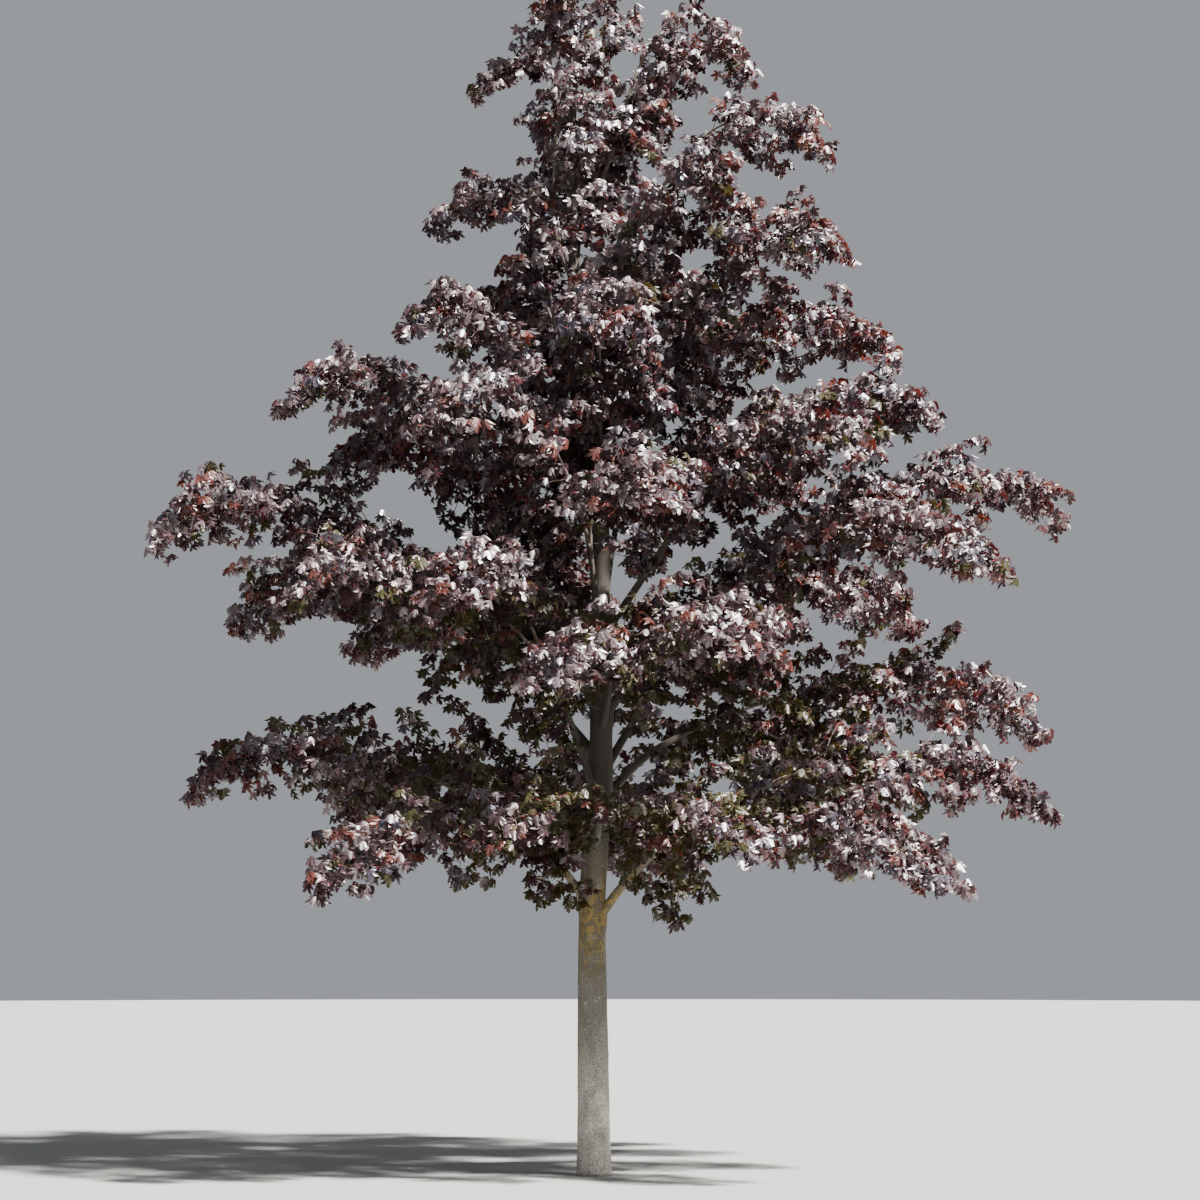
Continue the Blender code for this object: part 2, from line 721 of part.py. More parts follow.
def build_tree():
    for thing in list(bpy.data.objects):
        bpy.data.objects.remove(thing)
    tree = new_collection("norway_maple")
    helpers = new_collection("helpers")
    bark = new_material("bark", BARK, BARK_ROUGHNESS)

    trunk = add_object("trunk", trunk_mesh("trunk", 0.0), tree, bark)
    trunk.data.shade_smooth()
    trunk.data.set_sharp_from_angle(angle=math.radians(60))
    cutter = add_object("trunk_cutter", trunk_mesh("trunk_cutter", CLEARANCE), helpers)
    cutter.hide_render = True
    cutter.display_type = "WIRE"

    for bough in BOUGHS:
        points, radii = bough_line(bough)
        young_bark = new_material(bough.name + "_bark", YOUNG_BARK, BARK_ROUGHNESS)
        mesh = tube_mesh(bough.name, points, radii, BOUGH_ROUNDNESS)
        cut_clear(add_object(bough.name, mesh, tree, young_bark), cutter)

    spaces = Spaces()
    for mass in MASSES:
        stem, shapes = grow_mass(mass, spaces)
        foliage = new_material(mass.name + "_foliage", FOLIAGE, FOLIAGE_ROUGHNESS)
        body = add_object(mass.name, stem, tree, foliage)
        if mass.bearer == "trunk" and mass.foot < TRUNK_TOP:
            cut_clear(body, cutter)
        fuse(body, [mesh_from("piece", shape) for shape in shapes])


build_tree()
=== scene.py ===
"""The looks of the purple-leaved Norway maple: bark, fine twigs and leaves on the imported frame.

Metres, +Z up. The trunk, boughs and stems run where the CAD source has them, and the crown grows by the
same rule, carried on to finer twigs and to leaves near their real size. Headings are in degrees round the
trunk: 0 is +X, 90 is +Y and 270 faces the camera.
"""

import math
import random
from typing import NamedTuple

import bpy
import numpy as np
from mathutils import Matrix, Vector, noise


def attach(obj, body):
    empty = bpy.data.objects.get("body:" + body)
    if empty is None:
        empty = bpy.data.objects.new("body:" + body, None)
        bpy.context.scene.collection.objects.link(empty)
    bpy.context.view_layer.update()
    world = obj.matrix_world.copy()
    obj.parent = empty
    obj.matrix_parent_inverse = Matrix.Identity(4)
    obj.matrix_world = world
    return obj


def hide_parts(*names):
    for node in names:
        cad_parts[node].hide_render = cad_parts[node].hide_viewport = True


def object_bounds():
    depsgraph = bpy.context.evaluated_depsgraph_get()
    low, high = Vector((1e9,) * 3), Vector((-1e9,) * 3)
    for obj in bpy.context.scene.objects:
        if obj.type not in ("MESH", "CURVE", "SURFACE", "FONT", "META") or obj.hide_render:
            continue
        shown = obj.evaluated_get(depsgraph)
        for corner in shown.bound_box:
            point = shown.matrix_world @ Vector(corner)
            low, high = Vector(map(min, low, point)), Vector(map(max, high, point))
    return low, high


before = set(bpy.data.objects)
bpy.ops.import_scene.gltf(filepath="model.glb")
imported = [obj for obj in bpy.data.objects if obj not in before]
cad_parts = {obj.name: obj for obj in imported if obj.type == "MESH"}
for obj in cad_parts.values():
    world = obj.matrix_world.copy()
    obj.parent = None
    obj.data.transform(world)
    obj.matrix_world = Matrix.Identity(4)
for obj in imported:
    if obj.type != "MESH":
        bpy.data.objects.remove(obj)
cad_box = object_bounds()

# The trunk, as in the source
TRUNK_TOP = 7.60
TAPER_TOP = 8.80
TAPER_POWER = 0.95
TRUNK_RADIUS = 0.117
FLARE = 0.010
FLARE_HEIGHT = 0.08
FLARE_LOBES = 5
LOBE_DEPTH = 0.30
LOBE_TURN = 0.6
SWAY = (
    (0.00, 0.000, 0.000),
    (1.80, -0.014, 0.010),
    (2.80, 0.050, 0.015),
    (4.60, 0.050, -0.020),
    (6.10, -0.150, 0.020),
    (7.30, -0.150, 0.030),
    (8.80, -0.080, 0.000),
)

# The limbs, as in the source
PULL = 0.36
DROOP = -26.0
BOUGH_SHARE = 0.34
BOUGH_TIP_RADIUS = 0.019
STEM_COLLAR = 0.02
STEM_LEAVING = 50.0
STEM_RADIUS = 0.018
STEM_SHARE_OF_TRUNK = 0.6
STEM_TIP_RADIUS = 0.0045
LEADER_STEP_BACK = 0.38
SOURCE_LEAF = 0.54
LEADER_HANG = 0.80
TIP_LIFT = 0.60
TIP_HOLD = 0.70

# The spaces that the masses keep to, as in the source, and the points that stand for the limbs in them
SPACE_FLATNESS = 1.45
SITE_SHARES = (0.12, 0.50, 0.90)
ROUGH_TRUNK_POINTS = 40
ROUGH_BOUGH_POINTS = 8

# How finely the limbs are drawn
TRUNK_SIDES = 60
TRUNK_ROW = 0.025
BOUGH_SIDES = 14
BOUGH_POINTS = 30
STEM_SIDES = 6
STEM_POINTS = 18
TWIG_SIDES = 4
TWIGLET_SIDES = 3
PETIOLE_SIDES = 3
FORK_SHARE = 0.74
FORK_OFFSET = 0.40
FORK_BACK = 0.05
FOOT_SWELL = (1.50, 1.42, 1.28, 1.14, 1.06)

# The bark's relief: depths in metres, and how fine each pattern is across the trunk and up it
FULL_RELIEF_RADIUS = 0.09
FISSURE_DEPTH = 0.0016
FINE_GRAIN = (46, 9)
BROAD_GRAIN = (17, 3.1)
RIDGES = (5.5, 2.3)
WAVINESS = 0.0035
WAVES = (6, 2.6)
BOUGH_RELIEF = 0.0009
BOUGH_GRAINS = (34, 90)

# Collars, where the trunk swells round a limb's foot, by the limb's radius
COLLAR_SWELL = 0.016
COLLAR_SIZE = 0.075
COLLAR_LEAST = 0.35
COLLAR_SIZE_RADIUS = 0.045
COLLAR_SWELL_RADIUS = 0.036
COLLAR_FALL = 2.2
COLLAR_STRETCH = (1.0, 1.0, 0.72)
STEM_FOOT_LIFT = 0.02
STEM_FOOT_RADIUS = 0.014

# Scars of old boughs, each with a dent in its middle, and their heights and headings
SCAR_SWELL = 0.007
SCAR_SIZE = 0.030
SCAR_STRETCH = 0.8
SCAR_DENT = 0.9
SCAR_DENT_FALL = 9
SCARS = ((1.74, 262), (1.56, 318), (1.32, 205), (1.05, 285), (0.82, 20), (0.64, 140), (1.45, 80))

# Twigs: a pair at each node of a stem, and on each twig smaller ones that hold the sprays
NODE_STEP = 0.150
NODE_ENDS = (0.04, 0.97)
NODE_SCATTER = 0.02
TWIG_SPLAY = (74.0, 34.0)
SPLAY_SCATTER = 12.0
TWIG_SHARES = (0.72, 1.14)
FAN_AT_ENDS = 0.70
FAN_SWELL = 1.2
TWIG_RISE = (-4.0, 34.0)
TWIG_SAG = (56.0, 96.0)
SAGGING = (-20.0, 38.0)
TWIG_WANDER = 9.0
TWIG_POINTS = 6
TWIG_RADIUS = 0.0052
TWIG_TIP_RADIUS = 0.0018
FULL_TWIG = 0.6
LOWEST_LEAF = 1.62
TWIG_ABOVE_LEAF = 0.05

# Shoots, which rise and hang between the pairs of twigs, and stand on the boughs and the upper trunk
SHOOT_SHARES = (1.10, 0.38)
SHOOT_SCATTER = 0.25
SHOOT_SPLAY = 70.0
SHOOT_RISE = (40.0, 72.0)
SHOOT_FALL = (-50.0, -12.0)
SHOOT_SAG = 30.0
BOUGH_SHOOTS = 7
BOUGH_SHOOT_ENDS = (0.30, 0.96)
BOUGH_SHOOT_SCATTER = 0.04
BOUGH_SHOOT_SPLAY = (30, 100)
BOUGH_SHOOT_LENGTH = (0.30, 0.62)
TRUNK_SHOOTS = 36
TRUNK_SHOOT_ENDS = (4.70, 7.50)
TRUNK_SHOOT_SCATTER = 20
TRUNK_SHOOT_LENGTH = (0.34, 0.86)
FREE_SHOOT_RISE = (-20.0, 70.0)
SHOOT_ENTRY = 0.22
END_TWIG = 0.52
END_TWIG_SHARES = (0.8, 1.0)
END_FALL = -22.0
END_SPLAY = 24.0

# The leader: its twigs stand all round it, rise towards its top, and end it in upright ones
LEADER_TURN = 137.0
LEADER_STEP = 0.085
LEADER_RISE = 34.0
LEADER_END_RISE = 66.0

# Twiglets, which hold the sprays, and how often a twig is tried again, shorter each time
TWIGLET_STEP = 0.073
TWIGLET_STEP_SHARES = (0.8, 1.2)
TWIGLET_FIRST = 0.06
TWIGLET_FIRST_SCATTER = 0.05
TWIGLET_LAST = 0.03
TWIGLET_LENGTH = (0.06, 0.13)
TWIGLET_SPLAY = (40.0, 66.0)
TWIGLET_RISE = (-10, 34)
TWIGLET_SAG = 26.0
TWIGLET_POINTS = 3
TWIGLET_RADIUS = 0.0026
TWIGLET_TIP_RADIUS = 0.0012
TRIES = 7
SHORTER = 0.84

# A spray: where its leaves sit on the twiglet and how far each is turned from it
SPRAY = ((0.34, -62.0), (0.40, 64.0), (0.80, -38.0), (0.86, 40.0), (1.00, 4.0))
SPRAY_SCATTER = 24.0

# Leaves: the blade's unit is the length from the petiole to the tip of the middle lobe
LEAF_SEED = 7
BLADE = 0.058
BLADE_SPREAD = 0.22
PETIOLE = (0.75, 1.25)
PETIOLE_CLIMB = (-12.0, 44.0)
PETIOLE_RADIUS = 0.0017
# A direction that no petiole has, to find one that is square to it
PETIOLE_SKEW = (0.31, 0.17, 0.94)
BLADE_DROOP = (30.0, 86.0)
BLADE_ROLL = 62.0
BLADE_TURN = 46.0
TO_THE_LIGHT = 0.6
OUT_OF_SPACE = 0.05
LEAF_ROOM = 0.012

# Half of a leaf's outline: the heel, a lower lobe, a side lobe and the middle lobe, which ends in the tip
HALF_OUTLINE = (
    (0.15, -0.14),
    (0.59, -0.09),
    (0.35, 0.14),
    (0.80, 0.53),
    (0.43, 0.60),
    (0.18, 0.46),
    (0.28, 0.80),
)
LEAF_TIP = 1.06
LOBE_TIPS = (1, 3)
SINUSES = (2, 5)
TIP_DROP = 0.030
BODY_RISE = 0.015
# How a blade is bent: the fall of its tips, the rise of the bays between them, its lean, and its fold
BENDS = (
    (0.12, 0.05, 0.04, 0.48),
    (0.26, 0.08, -0.05, 0.82),
    (0.40, 0.05, 0.07, 0.32),
    (-0.04, 0.08, -0.03, 1.10),
)

# The tones of the leaves: name, leaf colour, colour of the light through it, and gloss
TONES = (
    ("deep_purple", (0.020, 0.010, 0.012), (0.090, 0.010, 0.012), 0.28),
    ("blue_purple", (0.030, 0.022, 0.036), (0.070, 0.010, 0.020), 0.80),
    ("purple", (0.046, 0.026, 0.031), (0.170, 0.020, 0.018), 0.56),
    # This paler tone is a painted sheen: a lighter, greyer leaf colour dealt only to leaves in the light
    ("lilac", (0.085, 0.064, 0.074), (0.240, 0.050, 0.050), 0.96),
    ("wine_red", (0.060, 0.015, 0.012), (0.220, 0.030, 0.010), 0.48),
    ("bronze", (0.026, 0.023, 0.009), (0.110, 0.080, 0.010), 0.24),
)

# Where the tones lie: the share of a mass's reach and the heights over which the shaded middle and foot
# fade. The shaded middle is painted shade, dealt as darker tones, and in the low crown it reaches further
# out, under the tiers above
PAINTED_SHADE_FADE = (0.80, 0.50)
PAINTED_SHADE_TOP = (6.0, 4.6)
FOOT_TOP = (4.4, 3.2)
FOOT_SHADE_REACH = 2.40
TIPS_FROM = 0.72

# How often each tone is dealt: its share in the light, how much of that the shaded middle takes away, and
# what the middle above the foot, the foot and the outer tips add. The shaded middle is painted shade: it
# loses the paler tones and gains deep purple above the foot and bronze in it
TONE_SHARES = {
    "deep_purple": (0.30, 0.0),
    "blue_purple": (0.14, 0.5),
    "purple": (0.28, 0.7),
    "lilac": (0.26, 1.0),
    "wine_red": (0.05, 0.0),
    "bronze": (0.04, 0.0),
}
DEEP_IN_PAINTED_SHADE = 0.30
BRONZE_IN_FOOT_SHADE = 0.60
RED_AT_TIPS = 0.12


class Bough(NamedTuple):
    """A main limb: where it leaves the trunk, how steeply, and how thick."""

    name: str
    foot: float
    leaving: float
    radius: float


class Mass(NamedTuple):
    """A mass of foliage, by its furthest tip: heading, distance out and height. width is half its fan's."""

    name: str
    bearer: str
    heading: float
    reach: float
    tip: float
    width: float
    foot: float = 0.0


BOUGHS = (
    Bough("bough_low_left", 1.78, 64, 0.032),
    Bough("bough_low_front", 2.20, 44, 0.032),
    Bough("bough_low_right_front", 1.66, 62, 0.036),
    Bough("bough_low_right", 2.50, 58, 0.036),
    Bough("bough_low_back", 2.16, 46, 0.038),
    Bough("bough_mid_left", 2.84, 50, 0.036),
    Bough("bough_mid_front_left", 2.52, 68, 0.034),
    Bough("bough_mid_front", 3.02, 46, 0.028),
    Bough("bough_mid_right", 3.12, 58, 0.036),
    Bough("bough_mid_back_right", 2.74, 48, 0.034),
    Bough("bough_mid_back_left", 3.10, 46, 0.034),
    Bough("bough_high_left", 3.60, 56, 0.030),
    Bough("bough_high_front", 3.72, 54, 0.026),
    Bough("bough_high_right", 3.72, 50, 0.030),
    Bough("bough_high_back", 3.86, 54, 0.028),
    Bough("bough_top_right", 4.60, 56, 0.024),
)

MASSES = (
    Mass("mass_low_left", "bough_low_left", 186, 2.80, 2.50, 0.64),
    Mass("mass_low_left_front", "bough_low_left", 219, 2.24, 1.84, 0.60),
    Mass("mass_low_front_left", "bough_low_front", 246, 1.70, 2.12, 0.50),
    Mass("mass_low_front_right", "bough_low_front", 303, 1.88, 2.06, 0.54),
    Mass("mass_low_right_front", "bough_low_right_front", 326, 2.80, 1.86, 0.70),
    Mass("mass_low_right", "bough_low_right_front", 352, 3.10, 2.40, 0.70),
    Mass("mass_low_right_upper", "bough_low_right", 12, 3.24, 3.02, 0.72),
    Mass("mass_low_rear_right", "bough_low_right", 42, 3.00, 2.30, 0.72),
    Mass("mass_low_back", "bough_low_back", 82, 2.95, 2.00, 0.76),
    Mass("mass_low_back_left", "bough_low_back", 128, 2.90, 2.40, 0.78),
    Mass("mass_mid_left", "bough_mid_left", 184, 3.14, 4.26, 0.62),
    Mass("mass_mid_rear_left", "bough_mid_left", 155, 2.90, 3.84, 0.66),
    Mass("mass_mid_left_front", "bough_mid_front_left", 213, 2.40, 3.72, 0.60),
    Mass("mass_mid_front_left", "bough_mid_front_left", 243, 2.05, 3.72, 0.58),
    Mass("mass_mid_front", "bough_mid_front", 264, 1.95, 3.14, 0.52),
    Mass("mass_mid_front_right", "bough_mid_front", 299, 2.10, 3.34, 0.60),
    Mass("mass_mid_right_front", "bough_mid_right", 331, 3.05, 3.92, 0.62),
    Mass("mass_mid_right", "bough_mid_right", 0, 3.35, 4.42, 0.62),
    Mass("mass_mid_rear_right", "bough_mid_back_right", 36, 2.95, 3.85, 0.72),
    Mass("mass_mid_back_right", "bough_mid_back_right", 68, 2.85, 3.50, 0.72),
    Mass("mass_mid_back", "bough_mid_back_left", 98, 2.80, 4.00, 0.72),
    Mass("mass_mid_back_left", "bough_mid_back_left", 128, 2.80, 3.70, 0.72),
    Mass("mass_high_left", "bough_high_left", 188, 2.20, 5.20, 0.64),
    Mass("mass_high_rear_left", "bough_high_left", 150, 2.20, 4.95, 0.60),
    Mass("mass_high_front_left", "bough_high_front", 236, 1.80, 4.90, 0.58),
    Mass("mass_high_front", "bough_high_front", 284, 1.70, 4.35, 0.56),
    Mass("mass_high_right_front", "bough_high_right", 325, 2.30, 4.70, 0.60),
    Mass("mass_high_right", "bough_high_right", 356, 2.50, 5.06, 0.58),
    Mass("mass_high_back_right", "bough_high_back", 52, 2.35, 4.90, 0.66),
    Mass("mass_high_back", "bough_high_back", 100, 2.20, 5.20, 0.66),
    Mass("mass_top_right_front", "bough_top_right", 332, 1.92, 6.18, 0.62),
    Mass("mass_top_right", "bough_top_right", 8, 2.20, 5.68, 0.60),
    Mass("mass_top_left", "trunk", 182, 1.12, 6.62, 0.46, 5.45),
    Mass("mass_top_front_left", "trunk", 210, 1.56, 5.62, 0.58, 4.85),
    Mass("mass_top_front", "trunk", 272, 1.45, 5.56, 0.54, 4.70),
    Mass("mass_top_back_right", "trunk", 62, 1.65, 6.15, 0.58, 5.10),
    Mass("mass_top_back", "trunk", 120, 1.60, 6.05, 0.58, 5.00),
    Mass("mass_crest_right", "trunk", 347, 1.70, 7.02, 0.58, 5.93),
    Mass("mass_crest_right_upper", "trunk", 14, 1.16, 7.80, 0.56, 6.65),
    Mass("mass_crest_left", "trunk", 190, 0.86, 7.52, 0.50, 6.30),
    Mass("mass_crest_front", "trunk", 318, 1.40, 6.55, 0.50, 5.60),
    Mass("mass_crest_back", "trunk", 90, 1.15, 7.25, 0.50, 6.20),
    Mass("mass_leader", "trunk", 200, 0.15, 8.72, 0.70, TRUNK_TOP),
)
LEADER = "mass_leader"

# The leaves' pieces: each stands for the masses whose names begin so
TIERS = {
    "leaves_low_front": ("mass_low_left", "mass_low_front", "mass_low_right"),
    "leaves_low_rear": ("mass_low_rear", "mass_low_back"),
    "leaves_middle_front": ("mass_mid_left", "mass_mid_front", "mass_mid_right"),
    "leaves_middle_rear": ("mass_mid_rear", "mass_mid_back"),
    "leaves_high": ("mass_high",),
    "leaves_top": ("mass_top", "mass_crest", "mass_leader"),
}

# The photograph's view: 1200 pixels are SENSOR wide at this focal length
SENSOR = 36.0
LENS = 85.8
CAMERA = (0.042, -20.0, 1.6)
CAMERA_PITCH = 6.8

# Light: a large soft key from the upper right in front, and a pale room round it
KEY_HEADING = 328.0
KEY_HEIGHT = 49.0
KEY_ANGLE = 3.5
KEY_STRENGTH = 32.0
KEY_COLOUR = (1.0, 0.965, 0.91)
ROOM_COLOUR = (0.90, 0.94, 1.0)
ROOM_STRENGTH = 0.38
FLOOR_COLOUR = (0.24, 0.24, 0.234)
FLOOR_RADIUS = 60.0
FLOOR_SIDES = 96


# Curves and directions


def bearing(heading):
    angle = math.radians(heading)
    return Vector((math.cos(angle), math.sin(angle), 0.0))


def climbing(level, degrees):
    """A level direction tilted up by so many degrees."""
    angle = math.radians(degrees)
    return level * math.cos(angle) + Vector((0.0, 0.0, math.sin(angle)))


def turned(direction, degrees):
    """A direction swung round the upright axis."""
    return Matrix.Rotation(math.radians(degrees), 3, "Z") @ direction


def level_of(direction):
    return Vector((direction.x, direction.y, 0.0)).normalized()


def bezier(start, end, leave, arrive, share):
    """A point on the cubic from start to end that leaves along one pull and arrives along the other."""
    rest = 1.0 - share
    inner = (start + leave) * (3 * rest * rest * share) + (end - arrive) * (3 * rest * share * share)
    return start * rest**3 + inner + end * share**3


def trunk_axis(height):
    """The middle of the trunk at a height, on a smooth line through SWAY."""
    i = max(k for k in range(len(SWAY) - 1) if SWAY[k][0] <= height)
    (low, x0, y0), (high, x1, y1) = SWAY[i], SWAY[i + 1]
    share = min((height - low) / (high - low), 1.0)
    ease = share * share * (3 - 2 * share)
    return Vector((x0 + (x1 - x0) * ease, y0 + (y1 - y0) * ease, height))


def trunk_radius(height):
    return TRUNK_RADIUS * (1 - height / TAPER_TOP) ** TAPER_POWER


def flare(height, angle):
    """How far the root flare stands out at a height, by the direction round the trunk."""
    lobe = 1 + LOBE_DEPTH * math.cos(FLARE_LOBES * angle + LOBE_TURN)
    return FLARE * math.exp(-height / FLARE_HEIGHT) * lobe


def line_point(points, share):
    """The point and the direction at a share of a line's length."""
    lengths = [(b - a).length for a, b in zip(points, points[1:])]
    left = share * sum(lengths)
    for a, b, length in zip(points, points[1:], lengths):
        if left <= length:
            break
        left -= length
    return a.lerp(b, min(left / length, 1.0)), (b - a).normalized()


def line_length(points):
    return sum((b - a).length for a, b in zip(points, points[1:]))


# Lines of the limbs


def stem_goal(mass):
    """Where a mass's stem ends, short of its furthest tip."""
    tip = bearing(mass.heading) * mass.reach + Vector((0.0, 0.0, mass.tip))
    if mass.name == LEADER:
        return tip - Vector((0.0, 0.0, LEADER_HANG * SOURCE_LEAF))
    lift = Vector((0.0, 0.0, TIP_LIFT * SOURCE_LEAF))
    return tip + lift - bearing(mass.heading) * TIP_HOLD * SOURCE_LEAF


def bough_line(bough, count):
    """The points of a bough's middle, from inside the trunk to its tip, and its radii."""
    goals = [stem_goal(mass) for mass in MASSES if mass.bearer == bough.name]
    end = sum(goals, Vector()) / len(goals)
    start = trunk_axis(bough.foot)
    pull = PULL * (end - start).length
    level = level_of(end - start)
    leave = climbing(level, bough.leaving) * pull
    arrive = climbing(level, DROOP) * pull
    shares = [i / (count - 1) for i in range(count)]
    points = [bezier(start, end, leave, arrive, BOUGH_SHARE * share) for share in shares]
    radii = [bough.radius + (BOUGH_TIP_RADIUS - bough.radius) * share for share in shares]
    return points, radii


def stem_root(mass):
    """Where a mass's stem begins, its direction there, and its radius."""
    if mass.name == LEADER:
        along = (trunk_axis(TRUNK_TOP) - trunk_axis(TRUNK_TOP - LEADER_STEP_BACK)).normalized()
        return trunk_axis(TRUNK_TOP) - along * FORK_BACK, along, trunk_radius(TRUNK_TOP)
    if mass.bearer == "trunk":
        along = climbing(level_of(stem_goal(mass) - trunk_axis(mass.foot)), STEM_LEAVING)
        radius = min(STEM_RADIUS, STEM_SHARE_OF_TRUNK * trunk_radius(mass.foot))
        return trunk_axis(mass.foot), along, radius
    points, radii = bough_line(next(bough for bough in BOUGHS if bough.name == mass.bearer), BOUGH_POINTS)
    along = (points[-1] - points[-2]).normalized()
    across = along.cross(Vector((0.0, 0.0, 1.0))).normalized()
    side = math.copysign(1.0, across.dot(stem_goal(mass) - points[-1]))
    start = points[-1] - along * FORK_BACK + across * side * FORK_OFFSET * radii[-1]
    return start, along, FORK_SHARE * radii[-1]


def stem_line(mass, count):
    """The points of a mass's stem, from its bearer to its goal, and its radii."""
    first, along, radius = stem_root(mass)
    second = first + along * STEM_COLLAR
    goal = stem_goal(mass)
    pull = PULL * (goal - second).length
    arrive = Vector((0.0, 0.0, 1.0))
    if mass.name != LEADER:
        arrive = climbing(level_of(goal - second), DROOP)
    shares = [i / (count - 2) for i in range(count - 1)]
    points = [first] + [bezier(second, goal, along * pull, arrive * pull, share) for share in shares]
    thinning = STEM_TIP_RADIUS - radius
    return points, [radius] + [radius + thinning * share for share in shares]


# The space that each mass keeps to


class Spaces:
    """Shares the crown out between the masses, by cells with flat sides, and knows where the limbs are."""

    def __init__(self, stems):
        self.flat = np.array((1.0, 1.0, SPACE_FLATNESS))
        sites = [
            (mass.name, *line_point(stems[mass.name][0], share)[0], (0.5 * mass.width) ** 2)
            for mass in MASSES
            for share in SITE_SHARES
        ]
        self.owners = np.array([site[0] for site in sites])
        self.sites = np.array([site[1:4] for site in sites]) * self.flat
        self.weights = np.array([site[4] for site in sites])
        heights = np.linspace(0.0, TRUNK_TOP, ROUGH_TRUNK_POINTS)
        lines = [([trunk_axis(z) for z in heights], [trunk_radius(z) for z in heights])]
        lines += [bough_line(bough, ROUGH_BOUGH_POINTS) for bough in BOUGHS]
        self.starts = np.array([p for points, _ in lines for p in points[:-1]])
        self.runs = np.array([p for points, _ in lines for p in points[1:]]) - self.starts
        self.radii = np.array([r for _, radii in lines for r in radii[:-1]])

    def spare(self, name, points):
        """How far inside the mass's own space each point is, in metres, less than nothing outside."""
        own = self.owners == name
        scaled = np.asarray(points) * self.flat
        power = ((scaled[:, None] - self.sites) ** 2).sum(2) - self.weights
        nearest = power[:, own].argmin(1)
        home = self.sites[own][nearest]
        lead = power[:, ~own] - power[:, own].min(1)[:, None]
        apart = np.linalg.norm(home[:, None] - self.sites[~own], axis=2)
        return (lead / (2 * apart)).min(1) / SPACE_FLATNESS

    def owner(self, point):
        """The mass whose space a point lies in."""
        power = ((np.array(point) * self.flat - self.sites) ** 2).sum(1) - self.weights
        return next(mass for mass in MASSES if mass.name == self.owners[power.argmin()])

    def off_limbs(self, points):
        """How far each point is from the nearest face of the trunk or a bough."""
        gaps = points[:, None] - self.starts
        shares = ((gaps * self.runs).sum(2) / (self.runs * self.runs).sum(1)).clip(0, 1)
        away = np.linalg.norm(gaps - shares[..., None] * self.runs, axis=2)
        return (away - self.radii).min(1)


# Meshes from arrays


def add_piece(name, points, triangles, slots=None):
    """A mesh object from arrays of points and triangles, and of the material slot of each triangle."""
    mesh = bpy.data.meshes.new(name)
    mesh.vertices.add(len(points))
    mesh.vertices.foreach_set("co", np.asarray(points, np.float32).ravel())
    mesh.loops.add(3 * len(triangles))
    mesh.loops.foreach_set("vertex_index", np.asarray(triangles, np.int32).ravel())
    mesh.polygons.add(len(triangles))
    mesh.polygons.foreach_set("loop_start", np.arange(0, 3 * len(triangles), 3, dtype=np.int32))
    if slots is not None:
        mesh.polygons.foreach_set("material_index", np.asarray(slots, np.int32))
    mesh.update(calc_edges=True)
    if slots is None:
        mesh.shade_smooth()
    piece = bpy.data.objects.new(name, mesh)
    bpy.context.scene.collection.objects.link(piece)
    return piece


def tube_triangles(rings, sides):
    """The triangles of one closed tube of so many rings."""
    faces = []
    for ring in range(rings - 1):
        for k in range(sides):
            a = ring * sides + k
            b = ring * sides + (k + 1) % sides
            faces += [(a, b, b + sides), (a, b + sides, a + sides)]
    last = (rings - 1) * sides
    for k in range(1, sides - 1):
        faces += [(0, k + 1, k), (last, last + k, last + k + 1)]
    return np.array(faces)


def unit(vectors):
    return vectors / np.maximum(np.linalg.norm(vectors, axis=-1, keepdims=True), 1e-9)


def tubes(paths, radii, sides):
    """Tapering tubes along paths that have the same number of points, as points in rings and triangles."""
    paths = np.asarray(paths, float)
    radii = np.asarray(radii, float)
    count, rings = radii.shape
    along = np.empty_like(paths)
    along[:, 1:-1] = paths[:, 2:] - paths[:, :-2]
    along[:, 0] = paths[:, 1] - paths[:, 0]
    along[:, -1] = paths[:, -1] - paths[:, -2]
    along = unit(along)
    upright = np.abs(along[:, 0, 2]) > 0.9
    start = np.where(upright[:, None], (1.0, 0.0, 0.0), (0.0, 0.0, 1.0))
    angles = np.arange(sides) * 2 * math.pi / sides
    points = np.empty((count, rings, sides, 3))
    for ring in range(rings):
        tangent = along[:, ring]
        start = unit(start - (start * tangent).sum(1)[:, None] * tangent)
        across = np.cross(tangent, start)
        spoke = start[:, None] * np.cos(angles)[:, None] + across[:, None] * np.sin(angles)[:, None]
        points[:, ring] = paths[:, None, ring] + spoke * radii[:, ring, None, None]
    one = tube_triangles(rings, sides)
    triangles = one[None] + (np.arange(count) * rings * sides)[:, None, None]
    return points, triangles.reshape(-1, 3)


def stacked(parts):
    """Several (points, triangles) as one."""
    points, triangles, first = [], [], 0
    for block, faces in parts:
        block = block.reshape(-1, 3)
        points.append(block)
        triangles.append(faces + first)
        first += len(block)
    return np.concatenate(points), np.concatenate(triangles)


# The bark's relief


def pattern(x, y, height, waves, shift=(0, 0)):
    """A smooth random pattern on the bark, shifted so that no two are alike."""
    across, upwards = waves
    return noise.noise(Vector((x * across + shift[0], y * across, height * upwards + shift[1])))


def fissures(place, around, height):
    """Shallow upright ridges and furrows of the bark, from about -1 to 1."""
    fine = pattern(place.x, place.y, height, FINE_GRAIN)
    broad = pattern(place.x, place.y, height, BROAD_GRAIN, (5, 0))
    ridge = 1 - 2 * abs(pattern(math.cos(around), math.sin(around), height, RIDGES, (0, 9)))
    return 0.5 * fine + 0.35 * broad + 0.45 * (ridge - 0.6)


